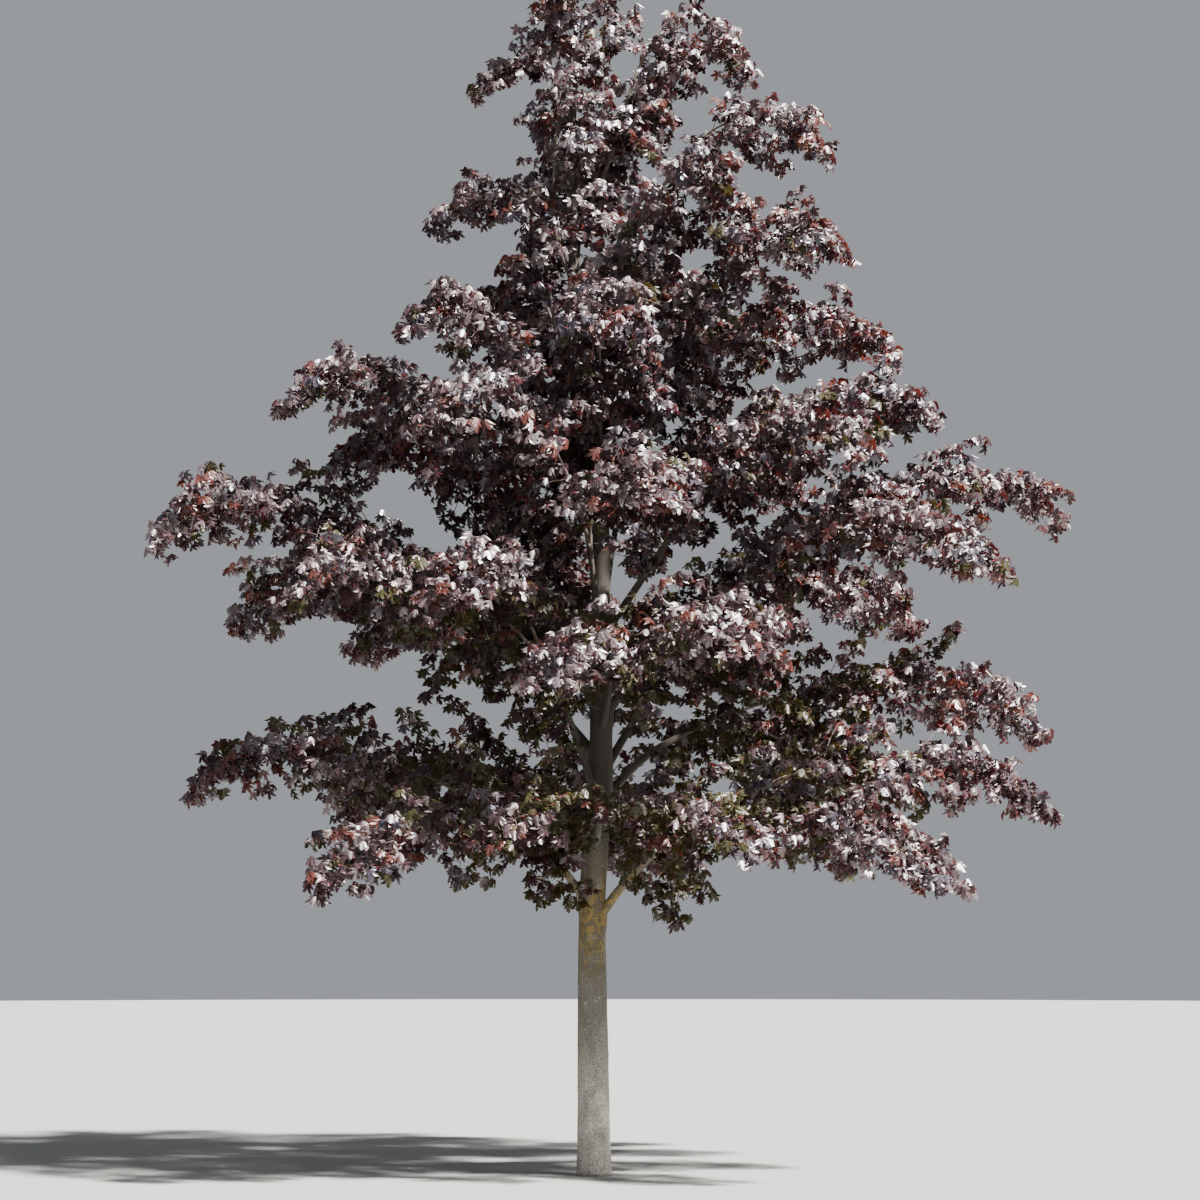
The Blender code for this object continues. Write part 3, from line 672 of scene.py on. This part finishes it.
def trunk_relief(place, around, height):
    """How far the bark stands out at a place on the trunk."""
    girth = min(trunk_radius(height) / FULL_RELIEF_RADIUS, 1.0)
    depth = FISSURE_DEPTH * fissures(place, around, height)
    depth += WAVINESS * pattern(place.x, place.y, height, WAVES, (0, 20))
    for scar_height, heading in SCARS:
        rise = height - scar_height
        if abs(rise) < 4 * SCAR_SIZE:
            aside = math.remainder(around - math.radians(heading), 2 * math.pi) * trunk_radius(height)
            away = math.hypot(rise * SCAR_STRETCH, aside) / SCAR_SIZE
            dent = SCAR_DENT * math.exp(-SCAR_DENT_FALL * away * away)
            depth += SCAR_SWELL * (math.exp(-away * away) - dent)
    return depth * girth


def collars(points):
    """How far the trunk swells round the foot of each limb, for an array of points on its side."""
    swell = np.zeros(len(points))
    feet = []
    for bough in BOUGHS:
        line, _ = bough_line(bough, ROUGH_BOUGH_POINTS)
        level = level_of(line[1] - line[0])
        lift = math.tan(math.radians(bough.leaving)) * trunk_radius(bough.foot)
        feet.append((trunk_axis(bough.foot + 0.5 * lift) + level * trunk_radius(bough.foot), bough.radius))
    for mass in MASSES:
        if mass.bearer == "trunk" and mass.name != LEADER:
            level = level_of(stem_goal(mass) - trunk_axis(mass.foot))
            foot = trunk_axis(mass.foot + STEM_FOOT_LIFT) + level * trunk_radius(mass.foot)
            feet.append((foot, STEM_FOOT_RADIUS))
    for foot, radius in feet:
        size = COLLAR_SIZE * (COLLAR_LEAST + radius / COLLAR_SIZE_RADIUS)
        away = np.linalg.norm((points - np.array(foot)) * COLLAR_STRETCH, axis=1) / size
        swell += COLLAR_SWELL * (radius / COLLAR_SWELL_RADIUS) * np.exp(-COLLAR_FALL * away * away)
    return swell


def make_trunk():
    rows = round(TRUNK_TOP / TRUNK_ROW)
    heights = [TRUNK_TOP * i / rows for i in range(rows + 1)]
    path = [trunk_axis(height) for height in heights]
    radii = [trunk_radius(height) for height in heights]
    points, triangles = tubes([path], [radii], TRUNK_SIDES)
    rings = points[0]
    for ring, height, middle in zip(rings, heights, path):
        for corner in ring:
            out = Vector((corner[0] - middle.x, corner[1] - middle.y, 0.0))
            around = math.atan2(out.y, out.x)
            depth = flare(height, around) + trunk_relief(Vector(corner), around, height)
            corner += np.array(out.normalized() * depth)
    rings[0, :, 2] = 0.0
    flat = rings.reshape(-1, 3)
    middles = np.repeat(np.array(path), TRUNK_SIDES, axis=0)
    out = unit((flat - middles) * (1.0, 1.0, 0.0))
    return flat + out * collars(flat)[:, None], triangles


def make_boughs():
    """The boughs, swollen at their feet, with a fine relief."""
    paths, radii = zip(*(bough_line(bough, BOUGH_POINTS) for bough in BOUGHS))
    radii = np.array(radii)
    radii[:, : len(FOOT_SWELL)] *= FOOT_SWELL
    points, triangles = tubes(paths, radii, BOUGH_SIDES)
    middles = np.repeat(np.array(paths)[:, :, None], BOUGH_SIDES, axis=2)
    out = unit(points - middles)
    places = [Vector(place) for place in points.reshape(-1, 3)]
    waves = np.array([sum(noise.noise(grain * place) for grain in BOUGH_GRAINS) for place in places])
    return points + out * (BOUGH_RELIEF * waves).reshape(points.shape[:3])[..., None], triangles


# The rule by which the crown grows


class Crown:
    """Twigs, twiglets and leaves as they grow on the stems."""

    def __init__(self, spaces):
        self.spaces = spaces
        self.twigs = []
        self.twig_radii = []
        self.twiglets = []
        self.leaves = []
        self.tones = []
        self.homes = []

    def twig_path(self, root, level, length, rise, sag, count, rng):
        """A twig that leaves at a rise and is bent down by its own weight, wandering a little."""
        points = [root]
        for k in range(count - 1):
            level = turned(level, rng.uniform(-TWIG_WANDER, TWIG_WANDER))
            step = climbing(level, rise - sag * (k + 0.5) / (count - 1)) * (length / (count - 1))
            points.append(points[-1] + step)
        return points

    def add_twig(self, mass, root, level, length, rise, rng):
        """A twig with its twiglets and sprays, made shorter until it finds room."""
        sag = rng.uniform(*TWIG_SAG) if SAGGING[0] < rise < SAGGING[1] else SHOOT_SAG
        for _ in range(TRIES):
            path = self.twig_path(root, level, length, rise, sag, TWIG_POINTS, rng)
            if self.has_room(mass, path[2:]):
                break
            length *= SHORTER
        else:
            return
        self.twigs.append(path)
        thick = TWIG_TIP_RADIUS + (TWIG_RADIUS - TWIG_TIP_RADIUS) * min(length / FULL_TWIG, 1.0)
        self.twig_radii.append(np.linspace(thick, TWIG_TIP_RADIUS, TWIG_POINTS))
        side = rng.choice((-1, 1))
        at = TWIGLET_FIRST + rng.uniform(0.0, TWIGLET_FIRST_SCATTER)
        while at < length - TWIGLET_LAST:
            self.add_twiglet(mass, path, at / length, side, rng)
            side = -side
            at += TWIGLET_STEP * rng.uniform(*TWIGLET_STEP_SHARES)
        self.add_spray(mass, path[-2:], rng)

    def add_twiglet(self, mass, path, share, side, rng):
        root, along = line_point(path, share)
        level = turned(level_of(along), side * rng.uniform(*TWIGLET_SPLAY))
        length = rng.uniform(*TWIGLET_LENGTH)
        rise = rng.uniform(*TWIGLET_RISE)
        line = self.twig_path(root, level, length, rise, TWIGLET_SAG, TWIGLET_POINTS, rng)
        if self.has_room(mass, line[1:]):
            self.twiglets.append(line)
            self.add_spray(mass, line, rng)

    def has_room(self, mass, points):
        """True if points are in the CAD box, and in the mass's own space if one is given."""
        low, high = cad_box
        if not all(low[k] < point[k] < high[k] for point in points for k in range(3)):
            return False
        if min(point.z for point in points) < LOWEST_LEAF + TWIG_ABOVE_LEAF:
            return False
        return mass is None or bool((self.spaces.spare(mass.name, points) > 0.0).all())

    def add_spray(self, mass, line, rng):
        """The leaves of one twiglet, all of one tone."""
        mass = mass or self.spaces.owner(line[-1])
        tone = deal_tone(mass, line[-1], rng)
        for share, turn in SPRAY:
            root, along = line_point(line, share)
            level = turned(level_of(along), turn + rng.uniform(-SPRAY_SCATTER, SPRAY_SCATTER))
            self.leaves.append((*root, level.x, level.y))
            self.tones.append(tone)
            self.homes.append(mass.name)


def fading(value, none, full):
    """How far a value is from none to full, from 0 to 1."""
    return min(max((value - none) / (full - none), 0.0), 1.0)


def deal_tone(mass, place, rng):
    """Which tone a spray has: redder at the outer tips, and painted shade in the middle: darkest purple,
    bronze low inside, and none of the paler sheen tone.
    """
    foot = fading(place.z, *FOOT_TOP)
    reach = max(mass.reach, FOOT_SHADE_REACH) if foot == 1.0 else mass.reach
    out = math.hypot(place.x, place.y) / reach if mass.name != LEADER else 1.0
    # middle: how far a spray lies in the crown's painted shade, inside and below the top
    middle = fading(out, *PAINTED_SHADE_FADE) * fading(place.z, *PAINTED_SHADE_TOP)
    tips = max(0.0, out - TIPS_FROM) / (1 - TIPS_FROM)
    shares = {name: share * (1 - loss * middle) for name, (share, loss) in TONE_SHARES.items()}
    shares["deep_purple"] += DEEP_IN_PAINTED_SHADE * middle * (1 - foot)
    shares["wine_red"] += RED_AT_TIPS * tips
    shares["bronze"] += BRONZE_IN_FOOT_SHADE * middle * foot
    names = [tone[0] for tone in TONES]
    return rng.choices(range(len(names)), [shares[name] for name in names])[0]


def grow_mass(crown, mass, stem):
    """The twigs of one mass: a pair at each node of its stem, and shoots that rise and hang between them."""
    rng = random.Random(mass.name)
    leads = mass.name == LEADER
    nodes = max(round(line_length(stem) / (LEADER_STEP if leads else NODE_STEP)), 4)
    for node in range(nodes):
        along_stem = node / (nodes - 1)
        place = NODE_ENDS[0] + (NODE_ENDS[1] - NODE_ENDS[0]) * along_stem
        scattered = place + rng.uniform(-NODE_SCATTER, NODE_SCATTER)
        root, along = line_point(stem, min(max(scattered, 0.0), 1.0))
        splay = TWIG_SPLAY[0] + (TWIG_SPLAY[1] - TWIG_SPLAY[0]) * along_stem
        level = bearing(mass.heading + LEADER_TURN * node) if leads else level_of(along)
        fan = FAN_AT_ENDS + FAN_SWELL * place * (1 - place)
        lift = LEADER_RISE * along_stem if leads else 0.0
        for side in (-1, 1):
            out = turned(level, side * (splay + rng.uniform(-SPLAY_SCATTER, SPLAY_SCATTER)))
            length = mass.width * fan * rng.uniform(*TWIG_SHARES)
            crown.add_twig(mass, root, out, length, lift + rng.uniform(*TWIG_RISE), rng)
        rise = rng.uniform(*(SHOOT_RISE if node % 2 else SHOOT_FALL))
        out = turned(level, rng.uniform(-SHOOT_SPLAY, SHOOT_SPLAY))
        length = mass.width * (SHOOT_SHARES[0] + (SHOOT_SHARES[1] - SHOOT_SHARES[0]) * along_stem)
        crown.add_twig(mass, root, out, length * (1 + rng.uniform(-SHOOT_SCATTER, SHOOT_SCATTER)), rise, rng)
    end_level = level_of(stem[-1] - stem[-3])
    for side in (-1, 0, 1):
        out = turned(end_level, (LEADER_TURN if leads else END_SPLAY) * side)
        rise = LEADER_END_RISE if leads else END_FALL
        crown.add_twig(mass, stem[-1], out, END_TWIG * rng.uniform(*END_TWIG_SHARES), rise, rng)


def grow_inner_shoots(crown):
    """Shoots on the outer part of each bough and all round the upper trunk, which fill the middle.

    One on a bough keeps to the space that it enters, and one on the trunk crosses the spaces.
    """
    for bough in BOUGHS:
        rng = random.Random(bough.name)
        points, _ = bough_line(bough, BOUGH_POINTS)
        for share in np.linspace(*BOUGH_SHOOT_ENDS, BOUGH_SHOOTS):
            scattered = share + rng.uniform(-BOUGH_SHOOT_SCATTER, BOUGH_SHOOT_SCATTER)
            root, along = line_point(points, scattered)
            aside = rng.choice((-1, 1)) * rng.uniform(*BOUGH_SHOOT_SPLAY)
            out = turned(level_of(along), aside)
            mass = crown.spaces.owner(root + out * SHOOT_ENTRY)
            length = rng.uniform(*BOUGH_SHOOT_LENGTH)
            crown.add_twig(mass, root, out, length, rng.uniform(*FREE_SHOOT_RISE), rng)
    rng = random.Random("trunk")
    for k, height in enumerate(np.linspace(*TRUNK_SHOOT_ENDS, TRUNK_SHOOTS)):
        out = bearing(LEADER_TURN * k + rng.uniform(-TRUNK_SHOOT_SCATTER, TRUNK_SHOOT_SCATTER))
        length = rng.uniform(*TRUNK_SHOOT_LENGTH)
        crown.add_twig(None, trunk_axis(height), out, length, rng.uniform(*FREE_SHOOT_RISE), rng)


# Leaves


def blade_outline():
    """A leaf's whole outline, from the heel up the right side and down the left, and its triangles."""
    right = [Vector((x, y, 0.0)) for x, y in HALF_OUTLINE]
    left = [Vector((-x, y, 0.0)) for x, y in reversed(HALF_OUTLINE)]
    outline = [Vector((0.0, 0.0, 0.0)), *right, Vector((0.0, LEAF_TIP, 0.0)), *left]
    triangles = [(0, k, k + 1) for k in range(1, len(outline) - 1)]
    return np.array(outline), np.array(triangles)


def bent_blades():
    """The outline bent in each of the ways of BENDS: folded, with falling tips and raised bays."""
    flat, triangles = blade_outline()
    last = len(flat)
    tips = {k + 1 for k in LOBE_TIPS} | {last - 1 - k for k in LOBE_TIPS} | {len(HALF_OUTLINE) + 1}
    bays = {k + 1 for k in SINUSES} | {last - 1 - k for k in SINUSES}
    blades = []
    for fall, rise, lean, fold in BENDS:
        blade = flat.copy()
        for k, (x, y, _) in enumerate(flat):
            reach = math.hypot(x, y)
            height = -fall * reach * reach + lean * x - fold * abs(x)
            height += rise if k in bays else 0.0
            height += -TIP_DROP if k in tips else BODY_RISE
            blade[k, 2] = height if k else 0.0
        blades.append(blade)
    return np.array(blades), triangles


def tilted(level, degrees):
    """Level directions tilted up by so many degrees each."""
    angle = np.radians(degrees)[:, None]
    return level * np.cos(angle) + np.array((0.0, 0.0, 1.0)) * np.sin(angle)


def swung(level, degrees):
    """Level directions swung round the upright axis by so many degrees each."""
    angle = np.radians(degrees)
    x, y = level[:, 0], level[:, 1]
    return np.stack((x * np.cos(angle) - y * np.sin(angle), x * np.sin(angle) + y * np.cos(angle), 0 * x), 1)


class Leaves(NamedTuple):
    """All leaves as arrays: where petioles and blades begin, blade axes, sizes, bends, tones and masses."""

    roots: np.ndarray
    heels: np.ndarray
    across: np.ndarray
    along: np.ndarray
    face: np.ndarray
    sizes: np.ndarray
    bends: np.ndarray
    tones: np.ndarray
    homes: np.ndarray


def set_leaves(crown, rng):
    """Petioles and blades for every leaf: blades hang outwards and face up, and need room."""
    rows = np.array(crown.leaves)
    count = len(rows)
    roots = rows[:, :3]
    flat = np.array((1.0, 1.0, 0.0))
    level = unit(np.concatenate((rows[:, 3:5], np.zeros((count, 1))), 1))
    sizes = BLADE * (1 + BLADE_SPREAD * rng.uniform(-1, 1, count))
    petiole = tilted(level, rng.uniform(*PETIOLE_CLIMB, count))
    heels = roots + petiole * (sizes * rng.uniform(*PETIOLE, count))[:, None]
    outwards = unit(roots * flat)
    out = swung(unit(level + TO_THE_LIGHT * outwards), rng.uniform(-BLADE_TURN, BLADE_TURN, count))
    droop = rng.uniform(*BLADE_DROOP, count)
    along = tilted(out, -droop)
    face = tilted(out, 90 - droop)
    across = np.cross(along, face)
    roll = np.radians(rng.uniform(-BLADE_ROLL, BLADE_ROLL, count))[:, None]
    face, across = face * np.cos(roll) + across * np.sin(roll), across * np.cos(roll) - face * np.sin(roll)
    bends = rng.integers(0, len(BENDS), count)
    tones, homes = np.array(crown.tones), np.array(crown.homes)
    made = Leaves(roots, heels, across, along, face, sizes, bends, tones, homes)
    keep = leaves_with_room(crown.spaces, made)
    return Leaves(*(field[keep] for field in made))


def leaves_with_room(spaces, leaves):
    """Which leaves stay in their mass's space, off the limbs, above the lowest leaf and in the CAD box."""
    middles = leaves.heels + leaves.along * (0.5 * leaves.sizes)[:, None]
    tips = leaves.heels + leaves.along * leaves.sizes[:, None]
    keep = (tips[:, 2] > LOWEST_LEAF) & (spaces.off_limbs(middles) > LEAF_ROOM)
    for mass in MASSES:
        own = np.flatnonzero(leaves.homes == mass.name)
        keep[own] &= spaces.spare(mass.name, middles[own]) > -OUT_OF_SPACE
    low, high = (np.array(corner) for corner in cad_box)
    keep &= (tips > low).all(1) & (tips < high).all(1) & (middles > low).all(1) & (middles < high).all(1)
    return keep


def blade_mesh(leaves, pick):
    """The blades of the picked leaves as points, triangles and each triangle's tone."""
    shapes, one = bent_blades()
    local = shapes[leaves.bends[pick]] * leaves.sizes[pick][:, None, None]
    points = leaves.heels[pick][:, None]
    for axis, way in enumerate((leaves.across, leaves.along, leaves.face)):
        points = points + local[..., axis, None] * way[pick][:, None]
    triangles = one[None] + (np.arange(len(pick)) * shapes.shape[1])[:, None, None]
    tones = np.repeat(leaves.tones[pick], len(one))
    return points.reshape(-1, 3), triangles.reshape(-1, 3), tones


def petiole_mesh(leaves):
    """Each petiole as a three-sided spike from its twig to its blade."""
    run = unit(leaves.heels - leaves.roots)
    aside = unit(np.cross(run, PETIOLE_SKEW))
    other = np.cross(run, aside)
    points = np.empty((len(run), PETIOLE_SIDES + 1, 3))
    for k in range(PETIOLE_SIDES):
        angle = 2 * math.pi * k / PETIOLE_SIDES
        points[:, k] = leaves.roots + PETIOLE_RADIUS * (aside * math.cos(angle) + other * math.sin(angle))
    points[:, PETIOLE_SIDES] = leaves.heels
    one = np.array(((0, 1, 3), (1, 2, 3), (2, 0, 3)))
    triangles = one[None] + (np.arange(len(run)) * (PETIOLE_SIDES + 1))[:, None, None]
    return points.reshape(-1, 3), triangles.reshape(-1, 3)


# Materials


def new_material(name):
    """A node material and its tree, shader and output."""
    material = bpy.data.materials.new(name)
    material.use_nodes = True
    tree = material.node_tree
    return material, tree, tree.nodes["Principled BSDF"], tree.nodes["Material Output"]


def add_node(tree, kind, **values):
    """A node with values set on its sockets by name, or on itself."""
    made = tree.nodes.new(kind)
    for key, value in values.items():
        socket = made.inputs.get(key.replace("_", " "))
        if socket is not None:
            socket.default_value = value
        else:
            setattr(made, key, value)
    return made


def noise_at(tree, where, scale, detail=4.0, roughness=0.55, stretch=(1.0, 1.0, 1.0)):
    """A noise pattern on object coordinates, as a factor."""
    mapping = add_node(tree, "ShaderNodeMapping", Scale=stretch)
    pattern = add_node(tree, "ShaderNodeTexNoise", Scale=scale, Detail=detail, Roughness=roughness)
    tree.links.new(where, mapping.inputs["Vector"])
    tree.links.new(mapping.outputs["Vector"], pattern.inputs["Vector"])
    return pattern.outputs["Fac"]


def between(tree, value, low, high):
    """How far a value is from low to high, from 0 to 1."""
    ranged = add_node(tree, "ShaderNodeMapRange", From_Min=low, From_Max=high)
    tree.links.new(value, ranged.inputs["Value"])
    return ranged.outputs["Result"]


def product(tree, first, second):
    made = add_node(tree, "ShaderNodeMath", operation="MULTIPLY")
    tree.links.new(first, made.inputs[0])
    tree.links.new(second, made.inputs[1])
    return made.outputs[0]


def blend_colours(tree, share, first, second):
    """A colour that goes from first to second; each is a colour or a socket."""
    made = add_node(tree, "ShaderNodeMix", data_type="RGBA")
    tree.links.new(share, made.inputs["Factor"])
    for key, colour in (("A", first), ("B", second)):
        socket = next(s for s in made.inputs if s.name == key and s.type == "RGBA")
        if isinstance(colour, tuple):
            socket.default_value = (*colour, 1.0)
        else:
            tree.links.new(colour, socket)
    return next(s for s in made.outputs if s.type == "RGBA")


def bark_material():
    """Grey-brown bark with fine upright furrows, pale lichen and yellow lichen below the fork, a foot made
    pale by painted sunlight, and painted shade of the crown from 2 m up.
    """
    material, tree, shader, _ = new_material("maple_bark")
    where = add_node(tree, "ShaderNodeTexCoord").outputs["Object"]
    split = add_node(tree, "ShaderNodeSeparateXYZ")
    tree.links.new(where, split.inputs["Vector"])
    height = split.outputs["Z"]
    broad = noise_at(tree, where, 5.0, 5.0, 0.6, (1.0, 1.0, 0.6))
    worn = between(tree, broad, 0.35, 0.66)
    colour = blend_colours(tree, worn, (0.104, 0.096, 0.080), (0.194, 0.184, 0.158))
    # Painted sunlight: the lower trunk turns pale in broad patches, as where the sun falls on it
    painted_sunlit_foot = product(tree, between(tree, height, 1.10, 0.40), between(tree, broad, 0.20, 0.54))
    colour = blend_colours(tree, painted_sunlit_foot, colour, (0.600, 0.572, 0.515))
    lichen = between(tree, noise_at(tree, where, 30.0, 6.0, 0.62), 0.60, 0.64)
    colour = blend_colours(tree, lichen, colour, (0.322, 0.322, 0.284))
    band = product(tree, between(tree, height, 1.28, 1.52), between(tree, height, 2.30, 1.90))
    algae = between(tree, noise_at(tree, where, 9.0, 4.0, 0.6), 0.34, 0.56)
    colour = blend_colours(tree, product(tree, band, algae), colour, (0.092, 0.077, 0.030))
    patch = between(tree, noise_at(tree, where, 22.0, 7.0, 0.70), 0.52, 0.55)
    colour = blend_colours(tree, product(tree, band, patch), colour, (0.245, 0.160, 0.023))
    grain = noise_at(tree, where, 130.0, 6.0, 0.75, (1.0, 1.0, 0.7))
    # Painted shade of the crown: the bark turns dark from 2 m up to 3.2 m and stays so above
    shaded = between(tree, height, 2.0, 3.2)
    colour = blend_colours(tree, shaded, colour, (0.034, 0.029, 0.022))
    speckle = add_node(tree, "ShaderNodeMapRange", From_Min=0.58, From_Max=0.42, To_Max=0.75)
    tree.links.new(grain, speckle.inputs["Value"])
    colour = blend_colours(tree, speckle.outputs["Result"], colour, (0.065, 0.054, 0.043))
    furrow = noise_at(tree, where, 80.0, 6.0, 0.65, (1.0, 1.0, 0.45))
    tree.links.new(colour, shader.inputs["Base Color"])
    rough = add_node(tree, "ShaderNodeMapRange", To_Min=0.95, To_Max=0.70)
    tree.links.new(furrow, rough.inputs["Value"])
    tree.links.new(rough.outputs["Result"], shader.inputs["Roughness"])
    bump = add_node(tree, "ShaderNodeBump", Strength=0.60, Distance=0.004)
    tree.links.new(furrow, bump.inputs["Height"])
    tree.links.new(bump.outputs["Normal"], shader.inputs["Normal"])
    return material


def twig_material():
    """Smooth brown young bark with pale flecks."""
    material, tree, shader, _ = new_material("maple_twig_bark")
    where = add_node(tree, "ShaderNodeTexCoord").outputs["Object"]
    streak = noise_at(tree, where, 38.0, 5.0)
    worn = between(tree, streak, 0.35, 0.65)
    colour = blend_colours(tree, worn, (0.057, 0.038, 0.031), (0.130, 0.100, 0.080))
    fleck = between(tree, noise_at(tree, where, 130.0, 3.0), 0.64, 0.70)
    colour = blend_colours(tree, fleck, colour, (0.230, 0.207, 0.168))
    tree.links.new(colour, shader.inputs["Base Color"])
    shader.inputs["Roughness"].default_value = 0.68
    bump = add_node(tree, "ShaderNodeBump", Strength=0.30, Distance=0.002)
    tree.links.new(streak, bump.inputs["Height"])
    tree.links.new(bump.outputs["Normal"], shader.inputs["Normal"])
    return material


def petiole_material():
    """Red leaf stalks, darker and lighter along their length."""
    material, tree, shader, _ = new_material("maple_petiole")
    where = add_node(tree, "ShaderNodeTexCoord").outputs["Object"]
    change = between(tree, noise_at(tree, where, 24.0, 3.0), 0.35, 0.65)
    colour = blend_colours(tree, change, (0.150, 0.016, 0.020), (0.300, 0.040, 0.030))
    tree.links.new(colour, shader.inputs["Base Color"])
    shader.inputs["Roughness"].default_value = 0.45
    return material


def leaf_material(name, colour, glow, gloss):
    """A leathery leaf: a plain tone with a waxy gloss and a puckered face, and a little light through it."""
    material, tree, shader, output = new_material("maple_leaf_" + name)
    shader.inputs["Base Color"].default_value = (*colour, 1.0)
    shader.inputs["Roughness"].default_value = 0.40
    shader.inputs["Specular IOR Level"].default_value = gloss
    shader.inputs["Coat Weight"].default_value = gloss
    shader.inputs["Coat Roughness"].default_value = 0.36
    where = add_node(tree, "ShaderNodeTexCoord").outputs["Object"]
    bump = add_node(tree, "ShaderNodeBump", Strength=0.55, Distance=0.006)
    tree.links.new(noise_at(tree, where, 55.0, 2.0), bump.inputs["Height"])
    tree.links.new(bump.outputs["Normal"], shader.inputs["Normal"])
    through = add_node(tree, "ShaderNodeBsdfTranslucent", Color=(*glow, 1.0))
    mix = add_node(tree, "ShaderNodeMixShader", Fac=0.16)
    tree.links.new(shader.outputs[0], mix.inputs[1])
    tree.links.new(through.outputs[0], mix.inputs[2])
    tree.links.new(mix.outputs[0], output.inputs["Surface"])
    return material


def floor_material():
    """A pale matt floor with a faint mottle."""
    material, tree, shader, _ = new_material("studio_floor")
    where = add_node(tree, "ShaderNodeTexCoord").outputs["Object"]
    change = between(tree, noise_at(tree, where, 1.4, 4.0), 0.3, 0.7)
    darker = tuple(0.97 * part for part in FLOOR_COLOUR)
    tree.links.new(blend_colours(tree, change, darker, FLOOR_COLOUR), shader.inputs["Base Color"])
    shader.inputs["Roughness"].default_value = 0.9
    return material


# Putting it together


def place(piece, slot, *materials, replaced=()):
    for material in materials:
        piece.data.materials.append(material)
    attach(piece, "root")
    if replaced:
        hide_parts(*replaced)


def build_tree():
    stems = {mass.name: stem_line(mass, STEM_POINTS) for mass in MASSES}
    spaces = Spaces(stems)
    bark = bark_material()
    place(add_piece("trunk_bark", *make_trunk()), "bark", bark, replaced=("trunk",))

    boughs, bough_faces = make_boughs()
    piece = add_piece("bough_bark", boughs.reshape(-1, 3), bough_faces)
    place(piece, "young_bark", bark, replaced=[bough.name for bough in BOUGHS])

    crown = Crown(spaces)
    for mass in MASSES:
        grow_mass(crown, mass, stems[mass.name][0])
    grow_inner_shoots(crown)
    young = twig_material()
    stem_lines, stem_radii = zip(*stems.values())
    stem_tubes = tubes(stem_lines, stem_radii, STEM_SIDES)
    twig_tubes = tubes(crown.twigs, crown.twig_radii, TWIG_SIDES)
    steps = np.linspace(TWIGLET_RADIUS, TWIGLET_TIP_RADIUS, TWIGLET_POINTS)
    twiglet_tubes = tubes(crown.twiglets, np.tile(steps, (len(crown.twiglets), 1)), TWIGLET_SIDES)
    place(add_piece("stems_and_twigs", *stacked((stem_tubes, twig_tubes))), "young_bark", young)
    place(add_piece("twiglets", *stacked((twiglet_tubes,))), "young_bark", young)

    leaves = set_leaves(crown, np.random.default_rng(LEAF_SEED))
    place(add_piece("petioles", *petiole_mesh(leaves)), "foliage", petiole_material())
    tones = [leaf_material(*tone) for tone in TONES]
    for name, beginnings in TIERS.items():
        nodes = [mass.name for mass in MASSES if mass.name.startswith(beginnings)]
        pick = np.flatnonzero(np.isin(leaves.homes, nodes))
        points, triangles, slots = blade_mesh(leaves, pick)
        place(add_piece(name, points, triangles, slots), "foliage", *tones, replaced=nodes)


def build_studio():
    bpy.ops.mesh.primitive_circle_add(vertices=FLOOR_SIDES, radius=FLOOR_RADIUS, fill_type="NGON")
    floor = bpy.context.object
    floor.name = "floor"
    floor.data.materials.append(floor_material())

    key = bpy.data.lights.new("key", "SUN")
    key.energy = KEY_STRENGTH
    key.angle = math.radians(KEY_ANGLE)
    key.color = KEY_COLOUR
    lamp = bpy.data.objects.new("key", key)
    lamp.rotation_euler = climbing(bearing(KEY_HEADING), KEY_HEIGHT).to_track_quat("Z", "Y").to_euler()
    bpy.context.scene.collection.objects.link(lamp)

    world = bpy.data.worlds.new("room")
    bpy.context.scene.world = world
    world.use_nodes = True
    backdrop = world.node_tree.nodes["Background"]
    backdrop.inputs["Color"].default_value = (*ROOM_COLOUR, 1.0)
    backdrop.inputs["Strength"].default_value = ROOM_STRENGTH

    camera = bpy.data.cameras.new("camera")
    camera.sensor_width = SENSOR
    camera.lens = LENS
    viewer = bpy.data.objects.new("camera", camera)
    viewer.location = CAMERA
    viewer.rotation_euler = (math.radians(90 + CAMERA_PITCH), 0.0, 0.0)
    bpy.context.scene.collection.objects.link(viewer)
    bpy.context.scene.camera = viewer


build_tree()
build_studio()
